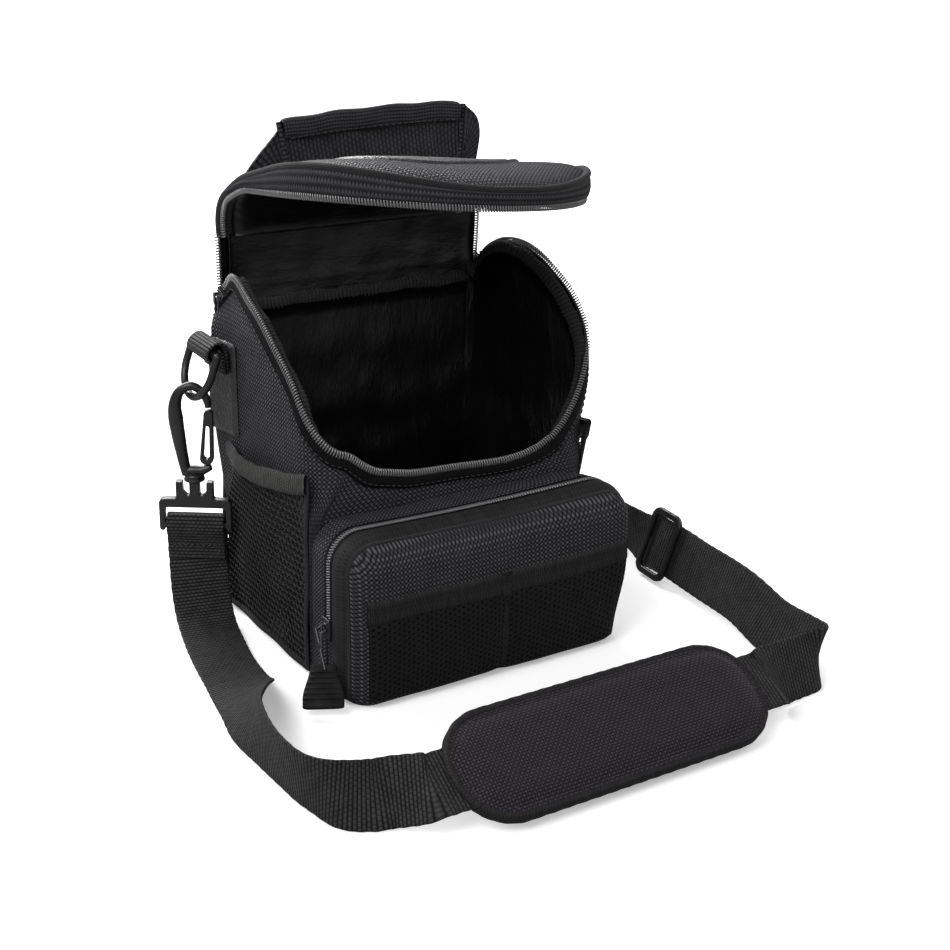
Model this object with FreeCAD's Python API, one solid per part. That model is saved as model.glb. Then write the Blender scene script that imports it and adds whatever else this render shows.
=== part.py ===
# Camera bag: padded box body with a zip-round hood lid standing open, front zip
# pocket, mesh side pockets, top handle and a hooked shoulder strap with a pad.
# Millimetres.  X = width (left is -X), Y = depth (front is -Y), Z = up.
# Origin: centre of the body's base, on the floor.
import FreeCAD
import Part
import math
import os
from FreeCAD import Placement, Rotation, Vector

os.makedirs("parts", exist_ok=True)

# ------------------------------------------------------------ shared dimensions
GAP = 0.1               # assembly clearance between layers
EPS = 1e-6              # slack when edges are picked by their bounds

BODY_W = 155.0          # outer width at the base
BODY_D = 104.0          # outer depth
TAPER = 0.03            # share of the width lost over TAPER_H
TAPER_H = 200.0

HINGE_Z = 167.0         # fold line of the lid at the body back
FLAP_H = 46.0           # rear flap height
LID_HALF_W = 76.0
LID_REAR_Y = 50.2       # rear edge of the lid, front face of the flap
LID_TILT = 5.0          # the open lid rests slightly nose-up

WEB_W, WEB_T = 30.0, 1.6         # shoulder webbing


# ------------------------------------------------------------ helpers
def save(name, *shapes):
    """Write one STEP per node; several solids in a node stay separate solids."""
    if len(shapes) == 1:
        shape = shapes[0]
    else:
        shape = Part.makeCompound([solid for s in shapes for solid in s.Solids])
    if shape.ShapeType != "Solid" and len(shape.Solids) == 1:
        shape = shape.Solids[0]
    shape.exportStep("parts/%s.step" % name)


def mirrored(shape):
    return shape.mirror(Vector(0, 0, 0), Vector(1, 0, 0))


def save_both(name, left):
    """A left piece and its mirror image in one node."""
    save(name, left, mirrored(left))


def save_pair(name, left):
    """A left piece and its mirror image as two nodes."""
    save(name + "_left", left)
    save(name + "_right", mirrored(left))


def box(x0, x1, y0, y1, z0, z1):
    return Part.makeBox(x1 - x0, y1 - y0, z1 - z0, Vector(x0, y0, z0))


def extrude(points, direction):
    """Prism on a closed polygon of points."""
    return Part.Face(Part.makePolygon(points + points[:1])).extrude(direction)


def fillet(solid, radius, chosen):
    """Round the edges whose bounding box passes the test."""
    return solid.makeFillet(radius, [e for e in solid.Edges if chosen(e.BoundBox)])


def interpolate(table, at):
    """Linear look-up in (position, value) rows, held flat past both ends."""
    if at <= table[0][0]:
        return table[0][1]
    for (p0, v0), (p1, v1) in zip(table, table[1:]):
        if at <= p1:
            return v0 + (v1 - v0) * (at - p0) / (p1 - p0)
    return table[-1][1]


def triangle(a, b, c):
    if (b - a).cross(c - a).Length < 1e-7:
        return None
    return Part.Face(Part.makePolygon([a, b, c, a]))


def quad(a, b, c, d):
    """Two triangles, without any that has no area."""
    return [face for face in (triangle(a, b, c), triangle(a, c, d)) if face]


def skin(sections, closed=False):
    """Closed solid through a row of point loops that all have the same count."""
    faces = []
    count = len(sections)
    size = len(sections[0])
    for i in range(count if closed else count - 1):
        here, ahead = sections[i], sections[(i + 1) % count]
        for j in range(size):
            k = (j + 1) % size
            faces += quad(here[j], here[k], ahead[k], ahead[j])
    if not closed:
        # each end loop is two facing edges, so the cap is a strip between them
        for end in (sections[0], sections[-1]):
            for j in range(size // 2 - 1):
                faces += quad(end[j], end[j + 1], end[size - 2 - j], end[size - 1 - j])
    shell = Part.makeShell(faces)
    if not shell.isClosed():
        shell.sewShape()
    solid = Part.makeSolid(shell)
    if solid.Volume < 0:
        solid.reverse()
    return solid


def oriented(shape, origin, along, across, normal):
    """Copy with its local X, Y, Z laid on the three given directions."""
    placed = shape.copy()
    placed.Placement = Placement(FreeCAD.Matrix(
        along.x, across.x, normal.x, origin.x,
        along.y, across.y, normal.y, origin.y,
        along.z, across.z, normal.z, origin.z,
        0, 0, 0, 1))
    return placed


def half_width(z):
    """Half the body's outer width at height z."""
    return BODY_W / 2 * (1 - TAPER * z / TAPER_H)


# ------------------------------------------------------------ body walls
R_REAR = 8.0            # plan corner radius, rear
R_FRONT_LOW = 4.0       # plan corner radius, front, low down
R_FRONT_TOP = 18.0      # plan corner radius, front, at the rim
R_CHANGE_Z = 84.0       # the front radius starts to grow here
R_TOP_Z = 103.0         # and reaches its full size here
R_MIN = 0.2             # smallest front radius of an inner layer

SHELL_T = 1.4           # woven outer panel
FOAM_T = 4.5            # padding
LINING_T = 1.0          # nylon lining
FOAM_INSET = SHELL_T + GAP
LINING_INSET = FOAM_INSET + FOAM_T + GAP
LINING_INNER = LINING_INSET + LINING_T

BACK_RIM_Z = 165.5
FRONT_RIM_Z = 96.0
TAPE_H = 7.0            # smooth zip tape under the teeth
TEETH_H = 2.0
PANEL_DROP = TAPE_H + TEETH_H   # panel tops below the rim

PANEL_Z = 1.6           # lower edge of the outer panels
FOAM_Z = 5.2            # lower edge of the foam, underside of the floor lining
LINING_Z = 6.3          # lower edge of the lining wall

# Side rim: distance forward of the back face, rim height
SIDE_RIM = [
    (0, BACK_RIM_Z), (3, 166.0), (6, 169.3), (10, 174.0), (16, 181.2),
    (22, 187.6), (28, 192.0), (34, 193.2), (42, 190.3), (50, 185.4),
    (58, 179.8), (66, 173.8), (74, 167.0), (80, 160.0), (86, 149.0)]
# Front rim: distance from the centre line, rim height
FRONT_RIM = [
    (0, FRONT_RIM_Z), (22, 96.2), (30, 97.0), (38, 98.8), (44, 101.0), (51, 104.8),
    (57.5, 108.8)]

# Plan stations of the walls: (place, position).  Position is x on the back and
# front, y on the side, and degrees on the arcs: the rear arc runs from the back
# to the side, the front arc from the side to the front.
SIDE_KEYS = (
    [("back", -67.35)]
    + [("rear_arc", angle) for angle in (0, 22, 45, 68, 90)]
    + [("side", y) for y in (42, 36, 30, 24, 18, 10, 2, -6, -14, -22, -28, -33.5)]
    + [("front_arc", angle) for angle in (0, 15, 30, 45, 60, 75, 90)]
    + [("front", -57.5)])
FRONT_KEYS = [("front", x) for x in
              (-57.3, -51, -44, -38, -30, -22, 0, 22, 30, 38, 44, 51, 57.3)]
BACK_KEYS = [("back", x) for x in (-67.2, -40, 0, 40, 67.2)]
# Whole ring: (station, x sign) down the left, along the front, up the right, back
RING_KEYS = (
    [(key, 1) for key in SIDE_KEYS]
    + [(key, 1) for key in FRONT_KEYS[1:-1]]
    + [(key, -1) for key in reversed(SIDE_KEYS)]
    + [(("back", x), 1) for x in (40, 0, -40)])


def wall_point(key, inset, z):
    """Point of the body wall at a station, moved inwards by the inset."""
    place, at = key
    half_w = half_width(z)
    half_d = BODY_D / 2
    if place == "back":
        return Vector(at, half_d - inset, z)
    if place == "rear_arc":
        angle = math.radians(at)
        radius = R_REAR - inset
        return Vector(-(half_w - R_REAR) - radius * math.sin(angle),
                      (half_d - R_REAR) + radius * math.cos(angle), z)
    if place == "side":
        return Vector(-(half_w - inset), at, z)
    if place == "front_arc":
        angle = math.radians(at)
        outer_r = interpolate([(R_CHANGE_Z, R_FRONT_LOW), (R_TOP_Z, R_FRONT_TOP)], z)
        radius = max(outer_r - inset, R_MIN)
        centre = max(outer_r, inset + R_MIN)
        return Vector(-(half_w - centre + radius * math.cos(angle)),
                      -(half_d - centre + radius * math.sin(angle)), z)
    return Vector(at, -(half_d - inset), z)


def rim_z(key):
    """Rim height at a station."""
    place, at = key
    if place == "back":
        return BACK_RIM_Z
    if place == "rear_arc":
        return interpolate(SIDE_RIM, R_REAR * (1 - math.cos(math.radians(at))))
    if place == "side":
        return interpolate(SIDE_RIM, BODY_D / 2 - at)
    if place == "front_arc":
        return 109.2 + 39.8 * (1 - math.sin(math.radians(at))) ** 0.85
    return interpolate(FRONT_RIM, abs(at))


def wall_section(key, outer, inner, low, knee, high):
    """Upright loop between two insets; the knee is where the radius changes."""
    heights = [low, knee, (knee + high) / 2, high]
    return ([wall_point(key, outer, z) for z in heights]
            + [wall_point(key, inner, z) for z in reversed(heights)])


def panel_wall(keys, outer, inner, low):
    """Open run of wall from the height low up to the zip tape."""
    sections = []
    for key in keys:
        high = rim_z(key) - PANEL_DROP
        knee = min(R_CHANGE_Z, high - 4)
        sections.append(wall_section(key, outer, inner, low, knee, high))
    return skin(sections)


def ring_wall(outer, inner, high_drop, low_drop=None, low=None):
    """Continuous wall round the body, from low, or from low_drop under the rim."""
    sections = []
    for key, sign in RING_KEYS:
        high = rim_z(key) - high_drop
        if low_drop is None:
            bottom, knee = low, R_CHANGE_Z
        else:
            bottom = rim_z(key) - low_drop
            knee = (bottom + high) / 2
        section = wall_section(key, outer, inner, bottom, knee, high)
        sections.append([Vector(sign * p.x, p.y, p.z) for p in section])
    return skin(sections, closed=True)


def floor_plate(inset, z, height):
    """Flat plate with the body's plan, smaller by the inset all round."""
    half_w, half_d = BODY_W / 2 - inset, BODY_D / 2 - inset
    plate = box(-half_w, half_w, -half_d, half_d, z, z + height)
    plate = fillet(plate, max(R_REAR - inset, 1.0),
                   lambda b: abs(b.ZLength - height) < EPS and b.YMin > 0)
    return fillet(plate, max(R_FRONT_LOW - inset, 0.8),
                  lambda b: abs(b.ZLength - height) < EPS and b.YMax < -half_d + 1e-3)


def make_body_walls():
    save_both("side_panels", panel_wall(SIDE_KEYS, 0.0, SHELL_T, PANEL_Z))
    save("front_panel", panel_wall(FRONT_KEYS, 0.0, SHELL_T, PANEL_Z))
    save("back_panel", panel_wall(BACK_KEYS, 0.0, SHELL_T, PANEL_Z))
    side, front, back = [panel_wall(keys, FOAM_INSET, FOAM_INSET + FOAM_T, FOAM_Z)
                         for keys in (SIDE_KEYS, FRONT_KEYS, BACK_KEYS)]
    save("wall_foam", side, mirrored(side), front, back)


def make_rim():
    tape = ring_wall(0.1, SHELL_T, TEETH_H + GAP, low_drop=PANEL_DROP - 0.5)
    teeth = ring_wall(-0.3, 1.9, 0.0, low_drop=TEETH_H)
    save("rim_zip", tape, teeth)
    save("rim_binding",
         ring_wall(SHELL_T + 0.9, LINING_INNER, 1.0, low_drop=PANEL_DROP + 2.4 - 2 * 2.4))


def make_floor():
    save("base_panel", floor_plate(0.0, 0.0, 1.5))
    save("base_board", floor_plate(SHELL_T + 0.7, 1.7, 3.4))
    save("body_lining",
         ring_wall(LINING_INSET, LINING_INNER, PANEL_DROP, low=LINING_Z),
         floor_plate(LINING_INSET + 0.3, FOAM_Z, 1.0))


# ------------------------------------------------------------ front pocket
POCKET_HALF_W = 76.0
POCKET_H = 81.0
POCKET_REAR_Y = -52.3
POCKET_FRONT_Y = -88.0
POCKET_R = 9.0
POCKET_T = 1.8          # gusset, zip tape and cover
POCKET_LOW_Z = 2.1
POCKET_FOLD_Z = 26.0    # below this the cover is sewn, above it opens
POCKET_ZIP_Y = -68.0    # centre of the zip
ZIP_HALF_W = 2.6
ZIP_SPLIT = 0.2         # each zip half stops this far from the centre
GUSSET_FRONT_Y = POCKET_ZIP_Y + ZIP_HALF_W
ZIP_FRONT_Y = POCKET_ZIP_Y - ZIP_HALF_W
COVER_REAR_Y = ZIP_FRONT_Y - GAP
OPEN_TOP_Z = 200        # trim height well above the pocket


def pocket_arch(inset, rear, front, foot_z):
    """Inverted U band: legs and a crown, rounded top corners."""
    def block(inset, foot_z):
        half_w, top = POCKET_HALF_W - inset, POCKET_H - inset
        return fillet(
            box(-half_w, half_w, front, rear, foot_z, top), POCKET_R - inset,
            lambda b: (b.YLength > abs(front - rear) - EPS and b.XLength < EPS
                       and b.ZLength < EPS and b.ZMin > top - EPS))
    return block(inset, foot_z).cut(block(inset + POCKET_T, foot_z - 1))


def pocket_dish(inset, thickness, z0, z1):
    """Face and side walls with soft rounded corners, trimmed from z0 to z1."""
    def block(inset, bottom):
        half_w, top = POCKET_HALF_W - inset, POCKET_H - inset
        front = POCKET_FRONT_Y + inset

        def rounded_edge(b):
            at_front = b.YMin < front + EPS
            at_top = b.ZMin > top - EPS
            upright = b.ZLength > (top - bottom) - EPS and at_front
            top_front = b.XLength > 2 * half_w - EPS and at_front and at_top
            top_side = b.YLength > 1 and at_top and b.XLength < EPS
            return upright or top_front or top_side

        return fillet(box(-half_w, half_w, front, COVER_REAR_Y + 6, bottom, top),
                      POCKET_R - inset, rounded_edge)
    shell = block(inset, -20).cut(block(inset + thickness, -30))
    front_trim = POCKET_FRONT_Y + inset - 5
    return shell.common(box(-200, 200, front_trim, COVER_REAR_Y, z0, z1))


def make_pocket_gusset():
    half_w = POCKET_HALF_W
    fold_front, fold_rear = ZIP_FRONT_Y, GUSSET_FRONT_Y - GAP
    fold_top = POCKET_FOLD_Z + 1.9
    save("pocket_gusset",
         pocket_arch(0.0, POCKET_REAR_Y, GUSSET_FRONT_Y, POCKET_LOW_Z),
         box(-half_w + 0.2, half_w - 0.2, POCKET_FRONT_Y + 2.0, POCKET_REAR_Y, 0.3, 2.0),
         box(-half_w, -half_w + POCKET_T, fold_front, fold_rear, POCKET_LOW_Z, fold_top),
         box(half_w - POCKET_T, half_w, fold_front, fold_rear, POCKET_LOW_Z, fold_top))


def make_pocket_zip():
    """Rear (outer) and front (inner) halves, standing slightly proud."""
    proud = 0.3
    foot_z = POCKET_FOLD_Z + 2.0
    save("pocket_zip_outer", pocket_arch(-proud, GUSSET_FRONT_Y - GAP,
                                         POCKET_ZIP_Y + ZIP_SPLIT, foot_z))
    save("pocket_zip_inner", pocket_arch(-proud, POCKET_ZIP_Y - ZIP_SPLIT,
                                         ZIP_FRONT_Y, foot_z))


def make_pocket_cover():
    fold = POCKET_FOLD_Z
    save("pocket_cover", pocket_dish(0.0, POCKET_T, fold + 1.2, OPEN_TOP_Z))
    save("pocket_cover_lower", pocket_dish(0.0, POCKET_T, POCKET_LOW_Z, fold - 0.6))
    save("pocket_lining", pocket_dish(2.0, 0.8, fold + 2.0, OPEN_TOP_Z))


def make_pocket_mesh():
    """Flat mesh on the pocket face, with an elastic along its top."""
    rear = POCKET_FRONT_Y - GAP
    elastic_z = 45.0
    save("pocket_mesh_upper",
         box(-66, 66, rear - 1.0, rear, POCKET_FOLD_Z + 1.6, elastic_z - GAP))
    save("pocket_mesh_lower", box(-66, 66, rear - 1.0, rear, 6.0, POCKET_FOLD_Z - 1.0))
    save("pocket_elastic", box(-67, 67, rear - 1.8, rear, elastic_z, elastic_z + 10.0))


# ------------------------------------------------------------ zip sliders and pulls
PIN_OUT = 3.2           # centre of the lug's hole, out from the slider's origin
POCKET_SLIDER = Vector(-(POCKET_HALF_W + 0.5), POCKET_ZIP_Y, 34.0)
MAIN_SLIDER = Vector(-76.5, 44.6, 168.0)


def slider_lug(origin, reach, half_height, hole_outer, hole_inner):
    """Lug on the slider's -X face, pierced along Y."""
    x, y, z = origin.x, origin.y, origin.z
    lug = box(x - reach, x - 2.2, y - 1.0, y + 1.0, z - half_height, z + half_height)
    return lug.cut(box(x - hole_outer, x - hole_inner, y - 1.1, y + 1.1, z - 1.6, z + 1.6))


def wire_loop(points, radius):
    """Closed loop of round wire with ball joints, fused."""
    ahead = points[1:] + points[:1]
    wire = None
    for start, end in zip(points, ahead):
        rod = Part.makeCylinder(radius, (end - start).Length, start, end - start)
        wire = rod if wire is None else wire.fuse(rod)
    for point in ahead:
        wire = wire.fuse(Part.makeSphere(radius, point))
    return wire


def make_pocket_slider():
    """Slider on the left leg of the pocket zip."""
    x, y, z = POCKET_SLIDER.x, POCKET_SLIDER.y, POCKET_SLIDER.z
    plate = box(x - 2.2, x - 0.2, y - 3.6, y + 3.6, z - 5, z + 5)
    lug = slider_lug(POCKET_SLIDER, 4.6, 2.4, 3.9, 2.2)
    save("pocket_slider", plate.fuse(lug).removeSplitter())


def make_pocket_pull():
    """Wire loop and flat grip hanging forwards and outwards from the slider."""
    pin = POCKET_SLIDER - Vector(PIN_OUT, 0, 0)
    hang = Vector(-11.0, -21.0, -28.5)
    hang.normalize()
    across = Vector(-1, 0, 0).cross(hang)
    across.normalize()
    normal = hang.cross(across)

    rear_top = pin + Vector(0, 2.4, 0)
    front_top = pin + Vector(0, -2.4, 0)
    bend = Vector(-2.6, 0, -1.0)
    wire_end = pin + hang * 20
    wire = wire_loop([wire_end + across * 2.0, rear_top + bend, rear_top,
                      front_top, front_top + bend, wire_end - across * 2.0], 0.65)
    save("pocket_pull_wire", wire.removeSplitter())

    # (across, along the hang direction)
    outline = [(-4.5, 0), (4.5, 0), (9.0, 12), (6.5, 16.5), (-6.5, 16.5), (-9.0, 12)]
    thickness = 3.0
    corner = pin + hang * 21.0 - normal * (thickness / 2)
    save("pocket_pull_grip",
         extrude([corner + across * a + hang * b for a, b in outline],
                 normal * thickness))


def make_main_zip_sliders():
    """Sliders at the rear of the rim, one each side, with hanging tabs."""
    along = Vector(0, -0.64, 0.768)
    outward = Vector(-1, 0, 0)
    plate = oriented(box(-5, 5, -3.4, 3.4, 0.3, 2.4),
                     MAIN_SLIDER, along, outward.cross(along), outward)
    lug = slider_lug(MAIN_SLIDER, 4.8, 3, 4.0, 2.4)
    save_pair("zip_slider", plate.fuse(lug).removeSplitter())

    pin = MAIN_SLIDER + outward * PIN_OUT
    pull = wire_loop([pin + Vector(0, y, z) for y, z in
                      ((1.9, -9), (1.9, 0), (-1.9, 0), (-1.9, -9))], 0.6)
    pull = pull.fuse(box(pin.x - 1.0, pin.x + 1.0, pin.y - 3.2, pin.y + 3.2,
                         pin.z - 16.2, pin.z - 8.6))
    save_pair("zip_pull", pull.removeSplitter())


# ------------------------------------------------------------ side mesh pockets
SIDE_BAND_H = 8.0
# Top edge of the elastic: y, z
SIDE_TOP = [(-50, 100), (-40, 96), (-24, 92), (-6, 88), (10, 86), (30, 84), (49, 82)]
SIDE_SHEET_Y = [-48, -42, -34, -24, -12, 0, 12, 24, 34, 42, 47]


def side_bulge(y, z):
    """Stand-off from the wall: fullest mid-depth, growing upwards."""
    across = math.cos(math.pi / 2 * max(-1, min(1, (y + 1) / 49.0)))
    rise = max(0.0, min(1.0, z / 90.0)) ** 1.3
    return 0.5 + 6.0 * max(across, 0.0) ** 1.4 * rise


def side_sheet(stand_off, thickness, low, high, levels):
    """Thin sheet outside the left wall; low and high are heights over y."""
    sections = []
    for y in SIDE_SHEET_Y:
        bottom, top = low(y), high(y)
        heights = [bottom + (top - bottom) * i / (levels - 1.0) for i in range(levels)]
        sections.append(
            [Vector(-(half_width(z) + stand_off(y, z) + thickness), y, z) for z in heights]
            + [Vector(-(half_width(z) + stand_off(y, z)), y, z) for z in reversed(heights)])
    return skin(sections)


def make_side_pockets():
    def band_top(y):
        return interpolate(SIDE_TOP, y)

    def band_low(y):
        return band_top(y) - SIDE_BAND_H

    save_both("side_mesh_pockets",
              side_sheet(side_bulge, 1.0, lambda y: 3.0, lambda y: band_low(y) - GAP, 4))
    save_both("side_pocket_elastics",
              side_sheet(lambda y, z: side_bulge(y, z) - 0.3, 1.8, band_low, band_top, 2))


# ------------------------------------------------------------ lid
# Local frame: origin at the rear top corner on the zip edge, -Y forward, Z up.
LID_L = 136.0           # lid depth along the zip edge
LID_R = 54.0            # plan radius of the D-shaped lid front
LID_FOLD = 68.0         # soft cross fold, halfway
FOLD_HALF_GAP = 0.5
LID_CORE_INSET = 3.0    # top, foam and lining inside the piping
LID_BAND_T = 2.4
LID_ZIP_H = 2.4
LID_SKIN_T = 1.4
LID_FOAM_T = 4.0
LID_LINING_T = 0.8
PIPING_H = 4.0          # piping depth below the lid top
LID_PLACE = Placement(Vector(0, LID_REAR_Y, HINGE_Z + FLAP_H),
                      Rotation(Vector(1, 0, 0), -LID_TILT))
# Crown of the lid: distance forward of the rear edge, height above the zip edge
LID_CROWN = [(0, 8.5), (12, 10.5), (30, 13.0), (50, 14.6), (68, 15.4), (90, 15.8),
             (115, 15.6), (136, 14.6)]
# Each half: (name, rear end, front end)
LID_HALVES = [("rear", 0.0, LID_FOLD - FOLD_HALF_GAP),
              ("front", LID_FOLD + FOLD_HALF_GAP, LID_L)]

# Smooth raised insert on the lid top
INSERT_HALF_W, INSERT_R = 46.0, 34.0
INSERT_REAR, INSERT_FRONT = 30.0, 106.0

# Rear flap joining lid and body back
FLAP_HALF_W = LID_HALF_W - 0.4
FLAP_SIDE = 3.2         # inset of the flap's foam and lining
FLAP_Z0, FLAP_Z1 = HINGE_Z + 3.6, HINGE_Z + FLAP_H - 0.6


def on_lid(shape):
    """Move a shape from the lid's local frame to its place."""
    shape.Placement = LID_PLACE.multiply(shape.Placement)
    return shape


def d_block(half_w, length, radius, z0=-1, z1=30):
    """D-shaped block: straight rear, rounded front corners."""
    return fillet(box(-half_w, half_w, -length, 0, z0, z1), radius,
                  lambda b: b.ZLength > (z1 - z0) - EPS and b.YMax < -length + EPS)


def lid_block(inset, z0=-1, z1=30):
    return d_block(LID_HALF_W - inset, LID_L - inset, LID_R - inset, z0, z1)


def lid_ring(outer, inner):
    return lid_block(outer).cut(lid_block(inner, -2, 31))


def strip(start, end, low, high):
    """Side profile across the lid between two height functions."""
    stops = sorted(set([start, end] + [v for v, _ in LID_CROWN if start < v < end]))
    profile = [(v, low(v)) for v in stops] + [(v, high(v)) for v in reversed(stops)]
    return extrude([Vector(-90, -v, z) for v, z in profile], Vector(180, 0, 0))


def flat(z):
    return lambda v: z


def under_crown(drop):
    return lambda v: interpolate(LID_CROWN, v) - drop


def flap_sheet(x0, x1, y0, y1, z1=FLAP_Z1):
    """Upright sheet of the flap, y measured back from the lid's rear edge."""
    return box(x0, x1, LID_REAR_Y + y0, LID_REAR_Y + y1, FLAP_Z0, z1)


def make_lid_half(half, start, end):
    """Lid layers of one half; the rear half's nodes also hold the flap layers."""
    flap_foam, flap_lining, flap_zip = [], [], []
    if half == "rear":
        inner_w = FLAP_HALF_W - FLAP_SIDE
        zip_w = FLAP_HALF_W - FLAP_SIDE + GAP
        flap_foam = [flap_sheet(-inner_w, inner_w, 0.9, 2.0)]
        flap_lining = [flap_sheet(-inner_w, inner_w, 0.1, 0.8)]
        flap_zip = [flap_sheet(-FLAP_HALF_W, -zip_w, 0.1, 2.0),
                    flap_sheet(zip_w, FLAP_HALF_W, 0.1, 2.0)]

    def put(name, block, low, high, flap=()):
        save(name + "_" + half, on_lid(block.common(strip(start, end, low, high))), *flap)

    core = lid_block(LID_CORE_INSET)
    band = lid_ring(0.0, LID_BAND_T)
    foam_top = LID_SKIN_T + GAP
    lining_top = foam_top + LID_FOAM_T + GAP
    put("lid_top", core, under_crown(LID_SKIN_T), under_crown(0.0))
    put("lid_foam", core, under_crown(foam_top + LID_FOAM_T), under_crown(foam_top),
        flap_foam)
    put("lid_lining", core, under_crown(lining_top + LID_LINING_T),
        under_crown(lining_top), flap_lining)
    put("lid_band", band, flat(LID_ZIP_H + GAP), under_crown(PIPING_H + GAP))
    put("lid_zip", band, flat(0.0), flat(LID_ZIP_H), flap_zip)
    put("lid_piping", lid_ring(-0.5, LID_CORE_INSET - GAP), under_crown(PIPING_H),
        under_crown(-0.4))

    insert_span = strip(max(start, INSERT_REAR), min(end, INSERT_FRONT),
                        under_crown(-GAP), under_crown(-1.3))
    insert = d_block(INSERT_HALF_W, INSERT_FRONT, INSERT_R)
    save("lid_insert_" + half, on_lid(insert.common(insert_span)))


def make_lid():
    save("flap_panel", flap_sheet(-FLAP_HALF_W, FLAP_HALF_W, 2.1, 3.4, FLAP_Z1 + 6.0))
    for half, start, end in LID_HALVES:
        make_lid_half(half, start, end)


# ------------------------------------------------------------ bands along a path
def path_stations(rows, steps):
    """Catmull-Rom stations (centre, width direction) through x y z, wx wy wz rows."""
    keys = [(Vector(*row[:3]), Vector(*row[3:])) for row in rows]
    stations = []
    last = len(keys) - 1
    for i in range(last):
        near = [keys[max(i - 1, 0)], keys[i], keys[i + 1], keys[min(i + 2, last)]]
        for step in range(steps):
            u = step / float(steps)
            weights = (-0.5 * u + u * u - 0.5 * u ** 3,
                       1 - 2.5 * u * u + 1.5 * u ** 3,
                       0.5 * u + 2 * u * u - 1.5 * u ** 3,
                       -0.5 * u * u + 0.5 * u ** 3)
            centre, width = Vector(0, 0, 0), Vector(0, 0, 0)
            for key, weight in zip(near, weights):
                centre = centre + key[0] * weight
                width = width + key[1] * weight
            width.normalize()
            stations.append((centre, width))
    stations.append(keys[-1])
    return stations


def square_to(width, tangent):
    """Unit width direction made square to a unit tangent."""
    square = width - tangent * width.dot(tangent)
    square.normalize()
    return square


def frames(stations):
    """Centre, width direction and normal at each station of a band."""
    points = [centre for centre, _ in stations]
    result = []
    for i, (centre, width) in enumerate(stations):
        tangent = points[min(i + 1, len(points) - 1)] - points[max(i - 1, 0)]
        tangent.normalize()
        width = square_to(width, tangent)
        result.append((centre, width, tangent.cross(width)))
    return result


def ribbon(stations, width, thickness, floor):
    """Flat band through the stations, lifted clear of floor(point)."""
    sections = []
    for centre, across, normal in frames(stations):
        h = across * (width / 2)
        q = normal * (thickness / 2)
        corners = (centre + h + q, centre - h + q, centre + h - q, centre - h - q)
        low = min(p.z - floor(p) for p in corners)
        if low < 0:
            centre = centre + Vector(0, 0, -low)
        sections.append([centre - h - q, centre + h - q, centre + h + q, centre - h + q])
    return skin(sections)


# ------------------------------------------------------------ handle
HANDLE_W, HANDLE_T = 28.0, 1.8
BAR_WIDTH_DIR = (0, -0.34, 0.94)
SLEEVE_STATIONS = slice(17, -22)    # the part of the path the sleeve covers
FOOT_X = (-52.0, 57.0)
# Left foot to right foot: centre x y z, width direction
HANDLE_PATH = [
    # left leg
    (-52, 42.2, 225.4, 1, 0, 0),
    (-52, 47.0, 228.6, 1, 0, 0),
    (-51.8, 50.0, 232.4, .97, -.05, .2),
    (-48.5, 51.0, 237.0, .55, -.3, .8),
    (-42, 51.5, 239.9, 0.1, -0.4, 0.92),
    # bar
    (-32, 51.5, 241.9, *BAR_WIDTH_DIR),
    (0, 52.0, 243.4, *BAR_WIDTH_DIR),
    (35, 52.0, 242.9, *BAR_WIDTH_DIR),
    (58, 51.5, 241.4, *BAR_WIDTH_DIR),
    # right leg
    (66.5, 51.5, 238.6, -.25, -0.36, 0.9),
    (67.5, 51.0, 235.0, -0.7, -0.3, 0.62),
    (62, 50.4, 232.0, -0.93, -0.25, 0.3),
    (58.0, 47.6, 229.4, -1, -.05, 0),
    (57, 42.2, 225.4, -1, 0, 0)]


def above_lid(point):
    """Height that keeps a point clear of the lid top and its piping."""
    if point.y > LID_REAR_Y + 1.2 or abs(point.x) > LID_HALF_W + 1.5:
        return 0.0
    tilt = math.radians(LID_TILT)
    v = max(0.0, (LID_REAR_Y - point.y) / math.cos(tilt))
    rise = (interpolate(LID_CROWN, v) + 0.9) / math.cos(tilt)
    return HINGE_Z + FLAP_H + rise + v * math.tan(tilt)


def make_handle():
    path = path_stations(HANDLE_PATH, 5)
    save("handle_webbing", ribbon(path, HANDLE_W, HANDLE_T, above_lid))

    # C section hooked over the upper edge: (along the width, along the normal)
    sleeve_profile = [(3.3, 3.5), (16.6, 3.5), (16.6, -3.5), (3.3, -3.5),
                      (3.3, -2.5), (15.4, -2.5), (15.4, 2.5), (3.3, 2.5)]
    save("handle_sleeve",
         skin([[centre + width * a + normal * b for a, b in sleeve_profile]
               for centre, width, normal in frames(path)[SLEEVE_STATIONS]]))


def make_handle_feet():
    """Flat patches on the lid top, in line with the handle ends."""
    feet = []
    for x in FOOT_X:
        foot = box(x - HANDLE_W / 2, x + HANDLE_W / 2, -27.0, -13.0, 0, 1.4)
        foot.Placement = Placement(Vector(0, 0, 8.85), Rotation(Vector(1, 0, 0), -8.2))
        feet.append(on_lid(foot))
    save("handle_feet", feet[0].fuse(feet[1]))


# ------------------------------------------------------------ D-rings and tabs
RING_X, RING_Y, RING_Z = -90.0, 38.0, 144.5     # straight bar of the left ring
RING_TILT = 19.06
WIRE_R = 2.0            # D-ring wire
BOW_RADIUS, RING_LEG = 15.5, 9.0
TAB_HALF_W = 12.6
TAB_T = 1.4
TAB_CLEAR = 0.5         # between ring wire and tab sleeve


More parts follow.
